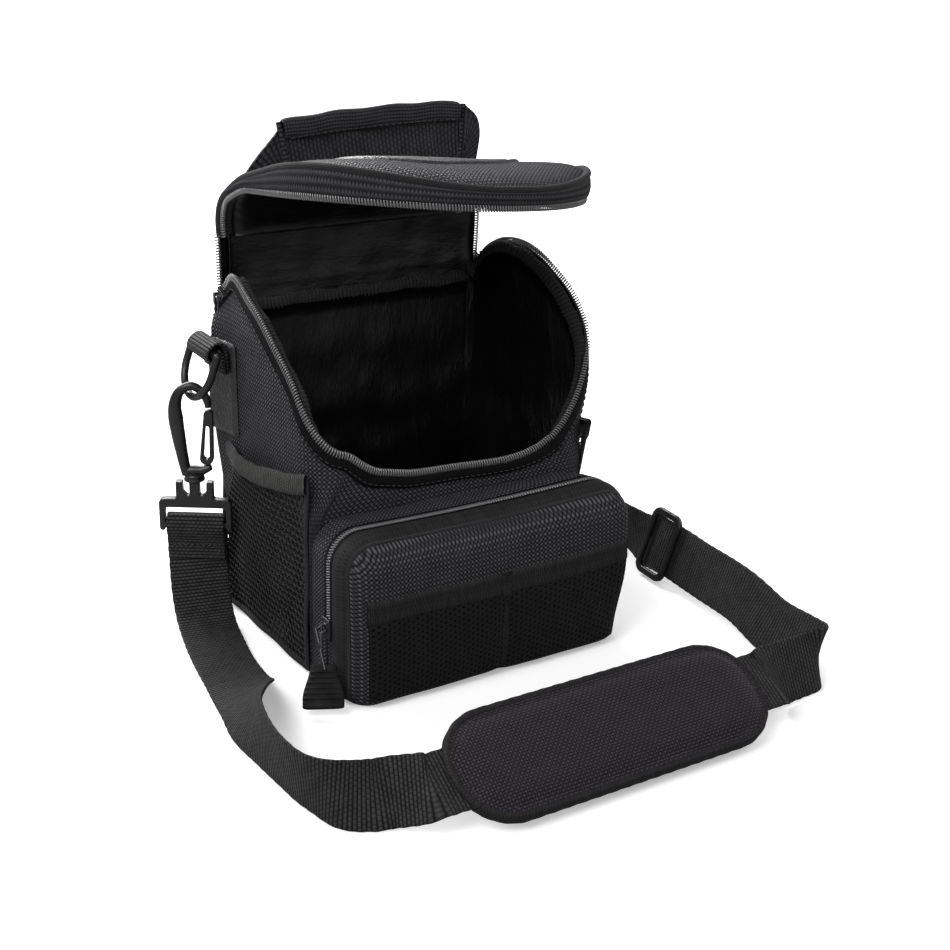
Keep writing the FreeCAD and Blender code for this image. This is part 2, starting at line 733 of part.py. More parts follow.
def make_d_rings():
    """Straight bar on top, legs and a half-round bow below."""
    r, leg = BOW_RADIUS, RING_LEG
    ring = Part.makeTorus(r, WIRE_R, Vector(0, 0, -leg), Vector(1, 0, 0))
    ring = ring.common(box(-5, 5, -30, 30, -60, -leg))
    for y in (-r, r):
        ring = ring.fuse(Part.makeCylinder(WIRE_R, leg, Vector(0, y, -leg), Vector(0, 0, 1)))
    ring = ring.fuse(Part.makeCylinder(WIRE_R, 2 * r, Vector(0, -r, 0), Vector(0, 1, 0)))
    ring = ring.fuse(Part.makeSphere(WIRE_R, Vector(0, -r, 0)))
    ring = ring.fuse(Part.makeSphere(WIRE_R, Vector(0, r, 0)))
    ring = ring.removeSplitter()
    ring.Placement = Placement(Vector(RING_X, RING_Y, RING_Z),
                               Rotation(Vector(0, 1, 0), RING_TILT))
    save_pair("d_ring", ring)


def make_tab_loops():
    """Sleeve round the ring's bar, with a tongue reaching in to the body wall."""
    y0, width = RING_Y - TAB_HALF_W, 2 * TAB_HALF_W
    inner_r = WIRE_R + TAB_CLEAR
    outer = Part.makeCylinder(inner_r + TAB_T, width, Vector(RING_X, y0, RING_Z),
                              Vector(0, 1, 0))
    bore = Part.makeCylinder(inner_r, width + 2, Vector(RING_X, y0 - 1, RING_Z),
                             Vector(0, 1, 0))
    # (x, height above the ring's bar)
    profile = [(RING_X, 0.6), (RING_X, 3.9), (-84, 6.0), (-77.6, 6.0), (-77.6, 3.2),
               (-84, 3.0)]
    tongue = extrude([Vector(x, y0, RING_Z + z) for x, z in profile], Vector(0, width, 0))
    save_both("tab_loops", outer.fuse(tongue).cut(bore).removeSplitter())


def make_tab_patches():
    """Thin patches lying on the side walls."""
    low, high = 102.0, 148.4
    low_x, high_x = half_width(low) + 0.15, half_width(high) + 0.15
    profile = [(-low_x, low), (-low_x - 1.0, low), (-high_x - 1.0, high), (-high_x, high)]
    save_both("tab_patches",
              extrude([Vector(x, 24.0, z) for x, z in profile], Vector(0, 19.8, 0)))


# ------------------------------------------------------------ hooks
# Local frame: x across the hook, y through it, z up, origin on the axis.
HOOK_X, HOOK_Y = 98.0, 38.0
HOOK_TURN = 33.0        # about Z, + on the right and - on the left
RIGHT_BASE_TURN = 60.0  # the right base is swivelled further than its hook
BOW_Z, BOW_R, HOOK_R = 118.5, 8.0, 2.2
COLLAR_Z, COLLAR_TOP = 79.5, 84.0


def hook_body():
    up = Vector(0, 0, 1)
    bow = Part.makeTorus(BOW_R, HOOK_R, Vector(0, 0, BOW_Z), Vector(0, 1, 0))
    hook = bow.common(box(-20, 20, -5, 5, BOW_Z, BOW_Z + 20))
    hook = hook.fuse(Part.makeCylinder(HOOK_R, BOW_Z - COLLAR_TOP,
                                       Vector(-BOW_R, 0, COLLAR_TOP), up))
    hook = hook.fuse(Part.makeCylinder(HOOK_R, 4.0, Vector(BOW_R, 0, BOW_Z - 4.0), up))
    hook = hook.fuse(box(-10.2, 10.2, -2.6, 2.6, COLLAR_Z, COLLAR_TOP))
    hook = hook.fuse(box(-10.2, -5.8, -2.4, 2.4, COLLAR_TOP, 90.0))
    hook = hook.fuse(Part.makeCylinder(6.5, 3.4, Vector(0, 0, 76.1), up))
    return hook.removeSplitter()


def hook_gate():
    """Upright closing the hook's open side, with a small inward spur."""
    gate = box(6.3, 10.1, -2.2, 2.2, 85.2, BOW_Z - 4.4)
    return gate.fuse(box(3.6, 6.3, -1.6, 1.6, 98.0, 101.0)).removeSplitter()


def hook_base():
    """Base plate with a window over a thinned webbing bar."""
    outline = [(-10, 75.8), (10, 75.8), (12.5, 68), (18.6, 63.5), (18.6, 48.6),
               (-18.6, 48.6), (-18.6, 63.5), (-12.5, 68)]
    base = extrude([Vector(x, -4.2, z) for x, z in outline], Vector(0, 8.4, 0))
    # window, thinning of the bar on both faces, trim under the bar: y0, y1, z0, z1
    for cut in ((-6, 6, 53.2, 60.4), (-6, -2.0, 46, 53.3), (2.0, 6, 46, 53.3),
                (-6, 6, 46, 48.9)):
        base = base.cut(box(-15.9, 15.9, *cut))
    return base.removeSplitter()


def loop_around_bar():
    """Webbing end turned over the base bar and brought together below it."""
    centre_z = 53.1
    outer_r, inner_r = 4.45, 2.95
    squash = 0.9        # height of the turn against its width

    def turn(radius, steps):
        angles = [math.pi * i / 12.0 for i in steps]
        return [(radius * math.cos(a), centre_z + radius * math.sin(a) * squash)
                for a in angles]

    rear_to_front = turn(outer_r, range(13))
    front_leg = [(-outer_r, 47.0), (-2.4, 42.8), (-2.4, 39.9), (-0.9, 39.9),
                 (-0.9, 42.6), (-inner_r, 47.2)]
    front_to_rear = turn(inner_r, range(12, -1, -1))
    rear_leg = [(inner_r, 47.2), (0.9, 43.5), (0.9, 42.6), (2.4, 42.5), (outer_r, 47.0)]
    profile = rear_to_front + front_leg + front_to_rear + rear_leg
    return extrude([Vector(-WEB_W / 2, y, z) for y, z in profile], Vector(WEB_W, 0, 0))


def make_hooks():
    """Save hooks, gates and bases; return the webbing loops in the bases."""
    bases, loops = [], []
    for side, x, base_turn, hook_turn in (
            ("left", -HOOK_X, -HOOK_TURN, -HOOK_TURN),
            ("right", HOOK_X, RIGHT_BASE_TURN, HOOK_TURN)):
        def put(shape, angle):
            shape.Placement = Placement(Vector(x, HOOK_Y, 0),
                                        Rotation(Vector(0, 0, 1), angle))
            return shape

        save("hook_" + side, put(hook_body(), hook_turn))
        save("hook_gate_" + side, put(hook_gate(), hook_turn))
        bases.append(put(hook_base(), base_turn))
        loops.append(put(loop_around_bar(), base_turn))
    save("hook_bases", *bases)
    return loops


# ------------------------------------------------------------ shoulder strap
PAD_L, PAD_W, PAD_T = 168.0, 54.0, 8.0
PAD_Y, PAD_Z = -190.5, 18.8
PAD_ACROSS = (0, 0.857, 0.515)
# Width directions where the strap ends enter the hook bases
LEFT_END = (math.cos(math.radians(HOOK_TURN)), -math.sin(math.radians(HOOK_TURN)), 0)
RIGHT_END = (math.cos(math.radians(RIGHT_BASE_TURN)),
             math.sin(math.radians(RIGHT_BASE_TURN)), 0)
# Straight run on the right, which carries the tri-glide
RUN_START = (139.9, -116, 19.2)
RUN_NEXT = (142.6, -80, 19.2)
RUN_WIDTH = (.33, 0, .944)
GLIDE_RUN = 36.0        # glide position along the run, from RUN_NEXT

# Left hook to right hook: centre x y z, width direction
STRAP_PATH = [
    (-HOOK_X, HOOK_Y, 41.8, *LEFT_END),
    (-HOOK_X, HOOK_Y, 37, *LEFT_END),
    (-98.4, 35.8, 26, .9, -.42, 0),
    (-99.6, 31, 15, .96, -.27, 0),
    (-101.5, 22, 6.0, .985, -.17, 0),
    (-104, 9, 2.0, .99, -.13, 0),
    (-109.5, -17, 1.6, .99, -.15, 0),
    (-113.5, -42, 2.0, .98, -.1, .08),
    (-119.0, -66, 5.0, .92, .02, .4),
    (-127.5, -88, 10.5, .6, .02, .8),
    (-133.5, -110, 14.5, .12, 0, 1),
    (-135.6, -134, 15.2, -.08, -.05, 1),
    (-134.2, -155, 15.2, -.12, -.05, 1),
    (-127.5, -170, 14.8, -.02, .22, .97),
    (-115, -177.5, 14.4, .05, .45, .88),
    (-106, -180.5, 14.8, .03, .58, .81),
    (-98.5, -185.6, 16.4, 0, .75, .65),
    # through the pad
    (-93.5, -190.0, 18.4, *PAD_ACROSS),
    (-90, PAD_Y, PAD_Z, *PAD_ACROSS),
    (-70, PAD_Y, PAD_Z, *PAD_ACROSS),
    (0, PAD_Y, PAD_Z, *PAD_ACROSS),
    (70, PAD_Y, PAD_Z, *PAD_ACROSS),
    (90, PAD_Y, PAD_Z, *PAD_ACROSS),
    (93.5, -190.0, 18.4, *PAD_ACROSS),
    (98.5, -186.2, 16.6, .05, .72, .69),
    (106, -184.0, 14.8, .12, .5, .86),
    (118, -183.4, 14.6, .15, .42, .89),
    (129, -182.6, 14.8, .2, .4, .89),
    (136.0, -177.5, 15.2, .4, .22, .89),
    (136.6, -166, 15.0, .42, .05, .9),
    (137.6, -144, 14.6, .4, .0, .92),
    (*RUN_START, *RUN_WIDTH),
    (*RUN_NEXT, *RUN_WIDTH),
    (144.7, -52, 19.2, *RUN_WIDTH),
    (146.65, -26, 19.2, *RUN_WIDTH),
    (149.6, -4, 16.4, .1, -.02, .98),
    (150.6, 15, 15.4, -.02, 0, 1),
    (145.0, 31, 15.4, .02, .12, .99),
    (133, 40.5, 16.0, .12, .42, .9),
    (119.5, 42.8, 20.5, .3, .78, .55),
    (107.5, 41.0, 27.5, .42, .88, .2),
    (100.2, 38.8, 33.5, .49, .87, .02),
    (HOOK_X, HOOK_Y, 37.5, *RIGHT_END),
    (HOOK_X, HOOK_Y, 41.8, *RIGHT_END)]


def make_strap(end_loops):
    webbing = ribbon(path_stations(STRAP_PATH, 4), WEB_W, WEB_T, lambda point: 0.5)
    save("strap_webbing", webbing, *end_loops)


def pad_block(shrink, radius, z0, z1):
    """Pad plan with rounded corners, smaller by shrink in length and width."""
    half_l, half_w = (PAD_L - shrink) / 2, (PAD_W - shrink) / 2
    return fillet(box(-half_l, half_l, -half_w, half_w, z0, z1), radius,
                  lambda b: b.ZLength > abs(z1 - z0) - EPS)


def make_pad():
    """Face and back cushions inside a binding slotted for the webbing."""
    half_t = PAD_T / 2
    face = fillet(pad_block(6.4, 17.0, 1.0, half_t), 1.4, lambda b: b.ZMin > half_t - EPS)
    back = fillet(pad_block(6.4, 17.0, -half_t, -1.0), 1.4,
                  lambda b: b.ZMax < -half_t + EPS)
    binding = pad_block(0.0, 20.0, -3.0, 3.0).cut(pad_block(6.2, 17.0, -4, 4))
    slot_half = WEB_W / 2 + 0.8
    binding = binding.cut(box(-PAD_L, PAD_L, -slot_half, slot_half, -1.3, 1.3))
    along, across = Vector(1, 0, 0), Vector(*PAD_ACROSS)
    for name, shape in (("pad_face", face), ("pad_back", back), ("pad_binding", binding)):
        save(name, oriented(shape, Vector(0, PAD_Y, PAD_Z), along, across,
                            along.cross(across)))


def make_tri_glide():
    """Two end bars outside the webbing, one centre bar on its inner side."""
    along = Vector(*RUN_NEXT) - Vector(*RUN_START)
    along.normalize()
    across = square_to(Vector(*RUN_WIDTH), along)
    half_l, half_t, bar_gap = 11, 2.7, 1.1
    slot = WEB_W / 2 + 0.5
    rail = slot + 3.2
    glide = box(-half_l, half_l, -rail, -slot, -half_t, half_t).fuse(
        box(-half_l, half_l, slot, rail, -half_t, half_t))
    for x0, x1, z0, z1 in ((-half_l, -7.5, bar_gap, half_t), (7.5, half_l, bar_gap, half_t),
                           (-2.4, 2.4, -half_t, -bar_gap)):
        glide = glide.fuse(box(x0, x1, -slot - 0.5, slot + 0.5, z0, z1))
    save("tri_glide", oriented(glide.removeSplitter(), Vector(*RUN_NEXT) + along * GLIDE_RUN,
                               along, across, along.cross(across)))


# ------------------------------------------------------------ build
make_body_walls()
make_rim()
make_floor()
make_pocket_gusset()
make_pocket_zip()
make_pocket_cover()
make_pocket_mesh()
make_pocket_slider()
make_pocket_pull()
make_side_pockets()
make_lid()
make_handle()
make_handle_feet()
make_d_rings()
make_tab_loops()
make_tab_patches()
make_strap(make_hooks())
make_pad()
make_tri_glide()
make_main_zip_sliders()
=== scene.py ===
"""Soft padded bag with a hooded zip lid, a front pocket, a top handle and a shoulder strap.

The bag stands on z = 0 with its front towards -y; "left" pieces are at -x. Lengths are in
millimetres and each mesh is scaled to metres as it is made. The strap leaves a hook at either
end, runs along the ground and carries a pad in front of the bag.
"""
from math import copysign, cos, exp, hypot, pi, radians, sin, sqrt

import bmesh
import bpy
import numpy as np
from mathutils import Matrix, Vector


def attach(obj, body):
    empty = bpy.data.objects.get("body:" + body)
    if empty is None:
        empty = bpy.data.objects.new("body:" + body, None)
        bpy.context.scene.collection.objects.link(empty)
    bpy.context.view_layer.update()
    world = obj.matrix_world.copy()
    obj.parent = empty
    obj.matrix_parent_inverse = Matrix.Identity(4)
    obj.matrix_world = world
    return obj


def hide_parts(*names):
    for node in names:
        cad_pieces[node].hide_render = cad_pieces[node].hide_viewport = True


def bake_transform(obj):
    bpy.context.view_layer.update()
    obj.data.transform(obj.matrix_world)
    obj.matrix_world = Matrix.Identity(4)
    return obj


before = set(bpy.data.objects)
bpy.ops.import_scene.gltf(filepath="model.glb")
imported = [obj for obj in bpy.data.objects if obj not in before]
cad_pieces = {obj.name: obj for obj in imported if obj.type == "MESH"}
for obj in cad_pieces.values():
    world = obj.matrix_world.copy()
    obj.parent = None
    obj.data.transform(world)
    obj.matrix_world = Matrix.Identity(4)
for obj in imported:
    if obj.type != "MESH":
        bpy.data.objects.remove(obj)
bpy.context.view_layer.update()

MM = 0.001
SIDES = ((-1, "left"), (1, "right"))


# ---------------------------------------------------------------- numbers and curves
def vec(*values):
    return np.array(values, float)


def unit(values):
    values = np.asarray(values, float)
    return values / max(np.linalg.norm(values), 1e-12)


def unit_rows(rows):
    return rows / np.maximum(np.linalg.norm(rows, axis=-1, keepdims=True), 1e-9)


def ease(low, high, x):
    """Smooth step from 0 at low to 1 at high."""
    t = np.clip((np.asarray(x, float) - low) / (high - low), 0, 1)
    return t * t * (3 - 2 * t)


def linear(table, x):
    xs, ys = zip(*table)
    return np.interp(x, xs, ys)


def smooth_curve(table, x):
    """Cubic curve through the (x, y) points of a table."""
    xs, ys = np.array(table, float).T
    i = np.clip(np.searchsorted(xs, x) - 1, 0, len(xs) - 2)
    gap = xs[i + 1] - xs[i]
    t = np.clip((x - xs[i]) / gap, 0, 1)
    slope = np.gradient(ys, xs)
    return ((2 * t ** 3 - 3 * t ** 2 + 1) * ys[i] + (t ** 3 - 2 * t ** 2 + t) * gap * slope[i]
            + (-2 * t ** 3 + 3 * t ** 2) * ys[i + 1] + (t ** 3 - t ** 2) * gap * slope[i + 1])


def ripple(a, b, seed):
    """Smooth fixed unevenness, about -1 to 1, with features about 60 mm long."""
    return (np.sin(a * .071 + b * .043 + seed * 2.1)
            + np.sin(-a * .052 + b * .095 + seed * 1.3 + 1.7)
            + np.sin(a * .118 - b * .031 + seed * .7 + 4.0)
            + np.sin(a * .023 + b * .131 + seed * 3.3)) / 3.2


def circle(count):
    return np.linspace(0, 2 * pi, count, endpoint=False)


def squircle(count, power_a, power_b):
    """Unit outline between a circle and a square, as (a, b) points."""
    return [(copysign(abs(cos(angle)) ** power_a, cos(angle)),
             copysign(abs(sin(angle)) ** power_b, sin(angle))) for angle in circle(count)]


def lattice(point, us, vs):
    return np.array([[point(u, v) for v in vs] for u in us])


def flat_uvs(us, vs):
    return np.stack(np.meshgrid(us, vs, indexing="ij"), 2)


def cumulative(steps):
    return np.concatenate([[0], np.cumsum(steps)])


def arc_length(path):
    return cumulative(np.linalg.norm(np.diff(path, axis=0), axis=1))


def interp_rows(at, known, rows):
    return np.stack([np.interp(at, known, rows[:, k]) for k in range(rows.shape[1])], 1)


def closed(rows):
    return np.concatenate([rows, rows[:1]])


def divide(count, path, *carried):
    """The path, and rows carried with it, at count evenly spaced points."""
    length = arc_length(path)
    at = np.linspace(0, length[-1], count)
    return [interp_rows(at, length, rows) for rows in (path, *carried)]


def respace(step, path, *carried):
    steps = max(2, int(round(arc_length(path)[-1] / step)))
    return divide(steps + 1, path, *carried)


def path_frames(path, hint):
    """Tangent, side (the hint squared to the path) and third axis at each point."""
    tangent = unit_rows(np.gradient(path, axis=0))
    side = np.asarray(hint, float)
    side = unit_rows(side - tangent * (side * tangent).sum(1, keepdims=True))
    return tangent, side, np.cross(tangent, side)


def catmull(keys, per):
    """Catmull-Rom curve through the keys, per points to a span."""
    rows = []
    last = len(keys) - 1
    for i in range(last):
        near = [keys[max(i - 1, 0)], keys[i], keys[i + 1], keys[min(i + 2, last)]]
        for step in range(per):
            t = step / float(per)
            weights = (-0.5 * t + t * t - 0.5 * t ** 3, 1 - 2.5 * t * t + 1.5 * t ** 3,
                       0.5 * t + 2 * t * t - 1.5 * t ** 3, -0.5 * t * t + 0.5 * t ** 3)
            rows.append(sum(vec(*key) * weight for key, weight in zip(near, weights)))
    return np.array(rows + [vec(*keys[-1])])


def stations(keys, per):
    """Curve through keys of (centre, width direction)."""
    centres, widths = zip(*keys)
    return catmull(centres, per), unit_rows(catmull(widths, per))


def arch(half, top, radius, start, leg_steps, arc_steps, top_steps):
    """Upside-down U: up the -x leg, over the top and down the +x leg."""
    arc = np.linspace(0, pi / 2, arc_steps, endpoint=False)
    points = [(-half, v) for v in np.linspace(start, top - radius, leg_steps, endpoint=False)]
    points += [(-half + radius - radius * cos(a), top - radius + radius * sin(a)) for a in arc]
    points += [(x, top) for x in np.linspace(-half + radius, half - radius, top_steps,
                                             endpoint=False)]
    points += [(half - radius + radius * sin(a), top - radius + radius * cos(a)) for a in arc]
    points += [(half, v) for v in np.linspace(top - radius, start, leg_steps + 1)]
    return np.array(points)


def stadium(length, width, radius, steps):
    """Rounded rectangle, steps points to a corner."""
    half_l, half_w = length / 2 - radius, width / 2 - radius
    points = []
    for x, y, start in ((half_l, half_w, 0), (-half_l, half_w, 90),
                        (-half_l, -half_w, 180), (half_l, -half_w, 270)):
        for angle in np.linspace(start, start + 90, steps, endpoint=False):
            points.append((x + radius * cos(radians(angle)), y + radius * sin(radians(angle))))
    return np.array(points)


def box_outline(low_a, high_a, low_b, high_b, steps):
    """Closed run round a rectangle, steps points to an edge."""
    corners = [(low_a, low_b), (high_a, low_b), (high_a, high_b), (low_a, high_b), (low_a, low_b)]
    return [(a + (a2 - a) * part, b + (b2 - b) * part)
            for (a, b), (a2, b2) in zip(corners, corners[1:])
            for part in np.linspace(0, 1, steps, endpoint=False)]


# ---------------------------------------------------------------- meshes
mesh_warp = None    # applied to the points of every new mesh while it is set


def make(name, points, faces, mat, point_uvs=None, loop_uvs=None):
    if mesh_warp is not None:
        points = mesh_warp(np.asarray(points, float))
    mesh = bpy.data.meshes.new(name)
    mesh.from_pydata([tuple(p) for p in (np.asarray(points, float) * MM)], [],
                     [tuple(int(i) for i in face) for face in faces])
    mesh.update()
    layer = mesh.uv_layers.new(name="UVMap")
    if point_uvs is not None:
        loop_uvs = np.asarray(point_uvs, np.float32)[loop_points(mesh)]
    if loop_uvs is not None:
        layer.data.foreach_set("uv", np.asarray(loop_uvs, np.float32).ravel())
    shade_smooth(mesh)
    ob = bpy.data.objects.new(name, mesh)
    bpy.context.scene.collection.objects.link(ob)
    mesh.materials.append(mat)
    return ob


def loop_points(mesh):
    index = np.zeros(len(mesh.loops), np.int32)
    mesh.loops.foreach_get("vertex_index", index)
    return index


def shade_smooth(mesh):
    mesh.polygons.foreach_set("use_smooth", np.ones(len(mesh.polygons), bool))


def grid_uvs(grid, wrap_u, wrap_v):
    """UVs in mm from the mean spacing of a grid's rows and columns."""
    if wrap_u:
        grid = closed(grid)
    if wrap_v:
        grid = np.concatenate([grid, grid[:, :1]], 1)
    return flat_uvs(cumulative(np.linalg.norm(np.diff(grid, axis=0), axis=2).mean(1)),
                    cumulative(np.linalg.norm(np.diff(grid, axis=1), axis=2).mean(0)))


def quads(rows, cols, wrap_u=False, wrap_v=False):
    """Each quad of a grid: its vertex numbers and its corners' places in the UV grid."""
    for i in range(rows if wrap_u else rows - 1):
        i2 = (i + 1) % rows
        for j in range(cols if wrap_v else cols - 1):
            j2 = (j + 1) % cols
            yield ((i * cols + j, i2 * cols + j, i2 * cols + j2, i * cols + j2),
                   ((i, j), (i + 1, j), (i + 1, j + 1), (i, j + 1)))


def surf(name, grid, mat, wrap_u=False, wrap_v=False, uvs=None, caps=False, flip=False):
    """Plain grid surface; caps close the ends of a tube."""
    rows, cols = grid.shape[:2]
    uvs = grid_uvs(grid, wrap_u, wrap_v) if uvs is None else uvs
    turn = -1 if flip else 1
    faces, loop_uvs = [], []
    for quad, corners in quads(rows, cols, wrap_u, wrap_v):
        faces.append(quad[::turn])
        loop_uvs += [uvs[corner] for corner in corners][::turn]
    if caps:
        start = tuple(range(cols))[::-1]
        end = tuple((rows - 1) * cols + j for j in range(cols))
        faces += [start[::turn], end[::turn]]
        loop_uvs += [(0, 0)] * (2 * cols)
    return make(name, grid.reshape(-1, 3), faces, mat, loop_uvs=loop_uvs)


def normals(grid, wrap_u=False):
    du = np.roll(grid, -1, 0) - np.roll(grid, 1, 0)
    dv = np.roll(grid, -1, 1) - np.roll(grid, 1, 1)
    if not wrap_u:
        du[0], du[-1] = grid[1] - grid[0], grid[-1] - grid[-2]
    dv[:, 0], dv[:, -1] = grid[:, 1] - grid[:, 0], grid[:, -1] - grid[:, -2]
    return unit_rows(np.cross(du, dv))


def shell(name, grid, thick, mat, wrap_u=False, uvs=None):
    """Closed thick sheet: one face is the grid, the other lies thick behind it."""
    rows, cols = grid.shape[:2]
    uvs = grid_uvs(grid, wrap_u, False) if uvs is None else uvs
    behind = grid - normals(grid, wrap_u) * thick
    points = np.concatenate([grid.reshape(-1, 3), behind.reshape(-1, 3)])
    count = rows * cols
    faces, loop_uvs = [], []
    for quad, corners in quads(rows, cols, wrap_u):
        corner_uvs = [uvs[corner] for corner in corners]
        faces += [quad, tuple(count + k for k in quad[::-1])]
        loop_uvs += corner_uvs + corner_uvs[::-1]
    rim = []
    if not wrap_u:
        base = (rows - 1) * cols
        rim += [(j, j + 1) for j in range(cols - 1)]
        rim += [(base + j + 1, base + j) for j in range(cols - 1)]
    spans = range(rows if wrap_u else rows - 1)
    rim += [(((i + 1) % rows) * cols, i * cols) for i in spans]
    rim += [(i * cols + cols - 1, ((i + 1) % rows) * cols + cols - 1) for i in spans]
    flat = uvs[:rows, :cols].reshape(-1, 2)
    for a, b in rim:
        faces.append((a, count + a, count + b, b))
        loop_uvs += [flat[a], flat[a], flat[b], flat[b]]
    return make(name, points, faces, mat, loop_uvs=loop_uvs)


def tube(name, path, radius, mat, hint, sides=10, deep=None, rib=None):
    """Tube along a path; radius lies along the hint and deep across it; rib = (pitch, depth)."""
    _, side, third = path_frames(path, hint)
    scale = np.ones(len(path))
    if rib:
        scale = 1 + rib[1] * np.cos(2 * pi * arc_length(path) / rib[0])
    deep = radius if deep is None else deep
    angles = circle(sides)
    grid = path[:, None] + (side[:, None] * (np.cos(angles)[None, :, None] * radius)
                            + third[:, None] * (np.sin(angles)[None, :, None] * deep)
                            ) * scale[:, None, None]
    return surf(name, grid, mat, wrap_v=True, caps=True, flip=True)


def coil(name, path, across, half=1.7, high=1.0, pitch=1.4, radius=.43, phase=0.0):
    """Helical zip teeth along a path; across points across the coil, in the tape."""
    path, across = respace(.6, path, np.broadcast_to(across, path.shape))
    length = arc_length(path)
    at = np.linspace(0, length[-1], int(length[-1] / pitch * 10))
    _, side, third = path_frames(path, across)
    path, side, third = (interp_rows(at, length, rows) for rows in (path, side, third))
    turn = 2 * pi * at / pitch + phase
    helix = (path + side * (half * np.cos(turn))[:, None]
             + third * (high * np.sin(turn))[:, None])
    outward = unit_rows(side * np.cos(turn)[:, None] / half
                        + third * np.sin(turn)[:, None] / high)
    return tube(name, helix, radius, TEETH, outward, sides=5)


# a stitch's (place along it, share of full radius)
STITCH_PROFILE = [(-.5, .15), (-.42, .7), (-.2, 1.0), (.2, 1.0), (.42, .7), (.5, .15)]


def stitches(name, path, normal, length=2.0, radius=.24, gap=None):
    """Row of thread stitches along a path; gap is half a stitch unless given."""
    gap = length / 2 if gap is None else gap
    path, normal = respace(.5, path, np.broadcast_to(normal, path.shape))
    dist = arc_length(path)
    points, faces = [], []
    sides = 5
    start = gap
    while start + length < dist[-1]:
        at = start + length * (0.5 + np.array([place for place, _ in STITCH_PROFILE]))
        centre = interp_rows(at, dist, path)
        up = unit_rows(interp_rows(at, dist, normal))
        side = unit_rows(np.cross(unit_rows(np.gradient(centre, axis=0)), up))
        base = len(points)
        for k, (_, size) in enumerate(STITCH_PROFILE):
            for angle in circle(sides):
                points.append(centre[k]
                              + up[k] * (radius * size * cos(angle) + radius * (size - .55))
                              + side[k] * radius * size * sin(angle))
        end = base + (len(STITCH_PROFILE) - 1) * sides
        for row in range(base, end, sides):
            for j in range(sides):
                j2 = (j + 1) % sides
                faces.append((row + j, row + j2, row + sides + j2, row + sides + j))
        faces.append(tuple(base + j for j in range(sides - 1, -1, -1)))
        faces.append(tuple(end + j for j in range(sides)))
        start += length + gap
    return make(name, points, faces, THREAD)


# half of a band's cross-section: (across / half width, through / half thickness)
BAND_TOP = [(-.985, .62), (-.95, .92), (-.88, 1.0), (-.6, 1.0), (-.3, 1.0), (0, 1.0),
            (.3, 1.0), (.6, 1.0), (.88, 1.0), (.95, .92), (.985, .62)]
BAND_SECTION = [(-1, .0)] + BAND_TOP + [(1, .0)] + [(a, -b) for a, b in reversed(BAND_TOP)]


def ribbon(name, keys, per, width, thick, mat, floor=None, cup=0.0, step=1.4, wave=.25):
    """Flat band through keys of (centre, width direction), kept above the floor height."""
    path, across, = respace(step, *stations(keys, per))
    _, side, third = path_frames(path, across)
    dist = arc_length(path)
    rows = []
    for i, at in enumerate(dist):
        row = []
        for a, b in BAND_SECTION:
            lift = wave * sin(at * .19 + a * 1.7) + .1 * sin(at * .9) * abs(a) ** 6
            row.append(path[i]
                       + side[i] * (a * width / 2 + .12 * sin(at * 1.1) * abs(a) ** 8)
                       + third[i] * (b * thick / 2 + lift + cup * (a * a - .4)))
        row = np.array(row)
        if floor is not None:
            row[:, 2] -= min(row[:, 2].min() - floor, 0)
        rows.append(row)
    grid = np.array(rows)
    uvs = flat_uvs(dist, arc_length(closed(grid[0])))
    return surf(name, grid, mat, wrap_v=True, uvs=uvs, caps=True)


def facing(side, grid):
    """The grid with its columns reversed on the left, so that its face looks outward."""
    return grid if side > 0 else grid[:, ::-1]


# ---------------------------------------------------------------- attachment
# (first body, second body, start, end) of each soft joint
POCKET_FOLD = ("bag_body", "front_pocket_cover", (0, -88, 14), (0, -88, 38))
LID_FOLD = ("lid_rear", "lid_front", (0, 50.2 - 54, 219), (0, 50.2 - 82, 222))
FLAP_FOLD = ("bag_body", "lid_rear", (0, 51, 160), (0, 51, 178))
HANDLE_FOLD = ("lid_rear", "handle", (0, 40.5, 222.0), (0, 46.0, 229.5))


def label_piece(replaced):
    if replaced:
        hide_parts(*replaced)


def put(ob, body, slot, *replaced):
    """Fix a piece to one body."""
    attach(ob, body)
    label_piece(replaced)


def bend(ob, fold, slot, *replaced):
    """Bake a piece's placement into its mesh and hide the CAD pieces it replaces."""
    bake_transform(ob)
    label_piece(replaced)


def left_only(side, piece):
    """The left piece alone is noted as replacing a shared CAD piece."""
    return [piece] if side < 0 else []


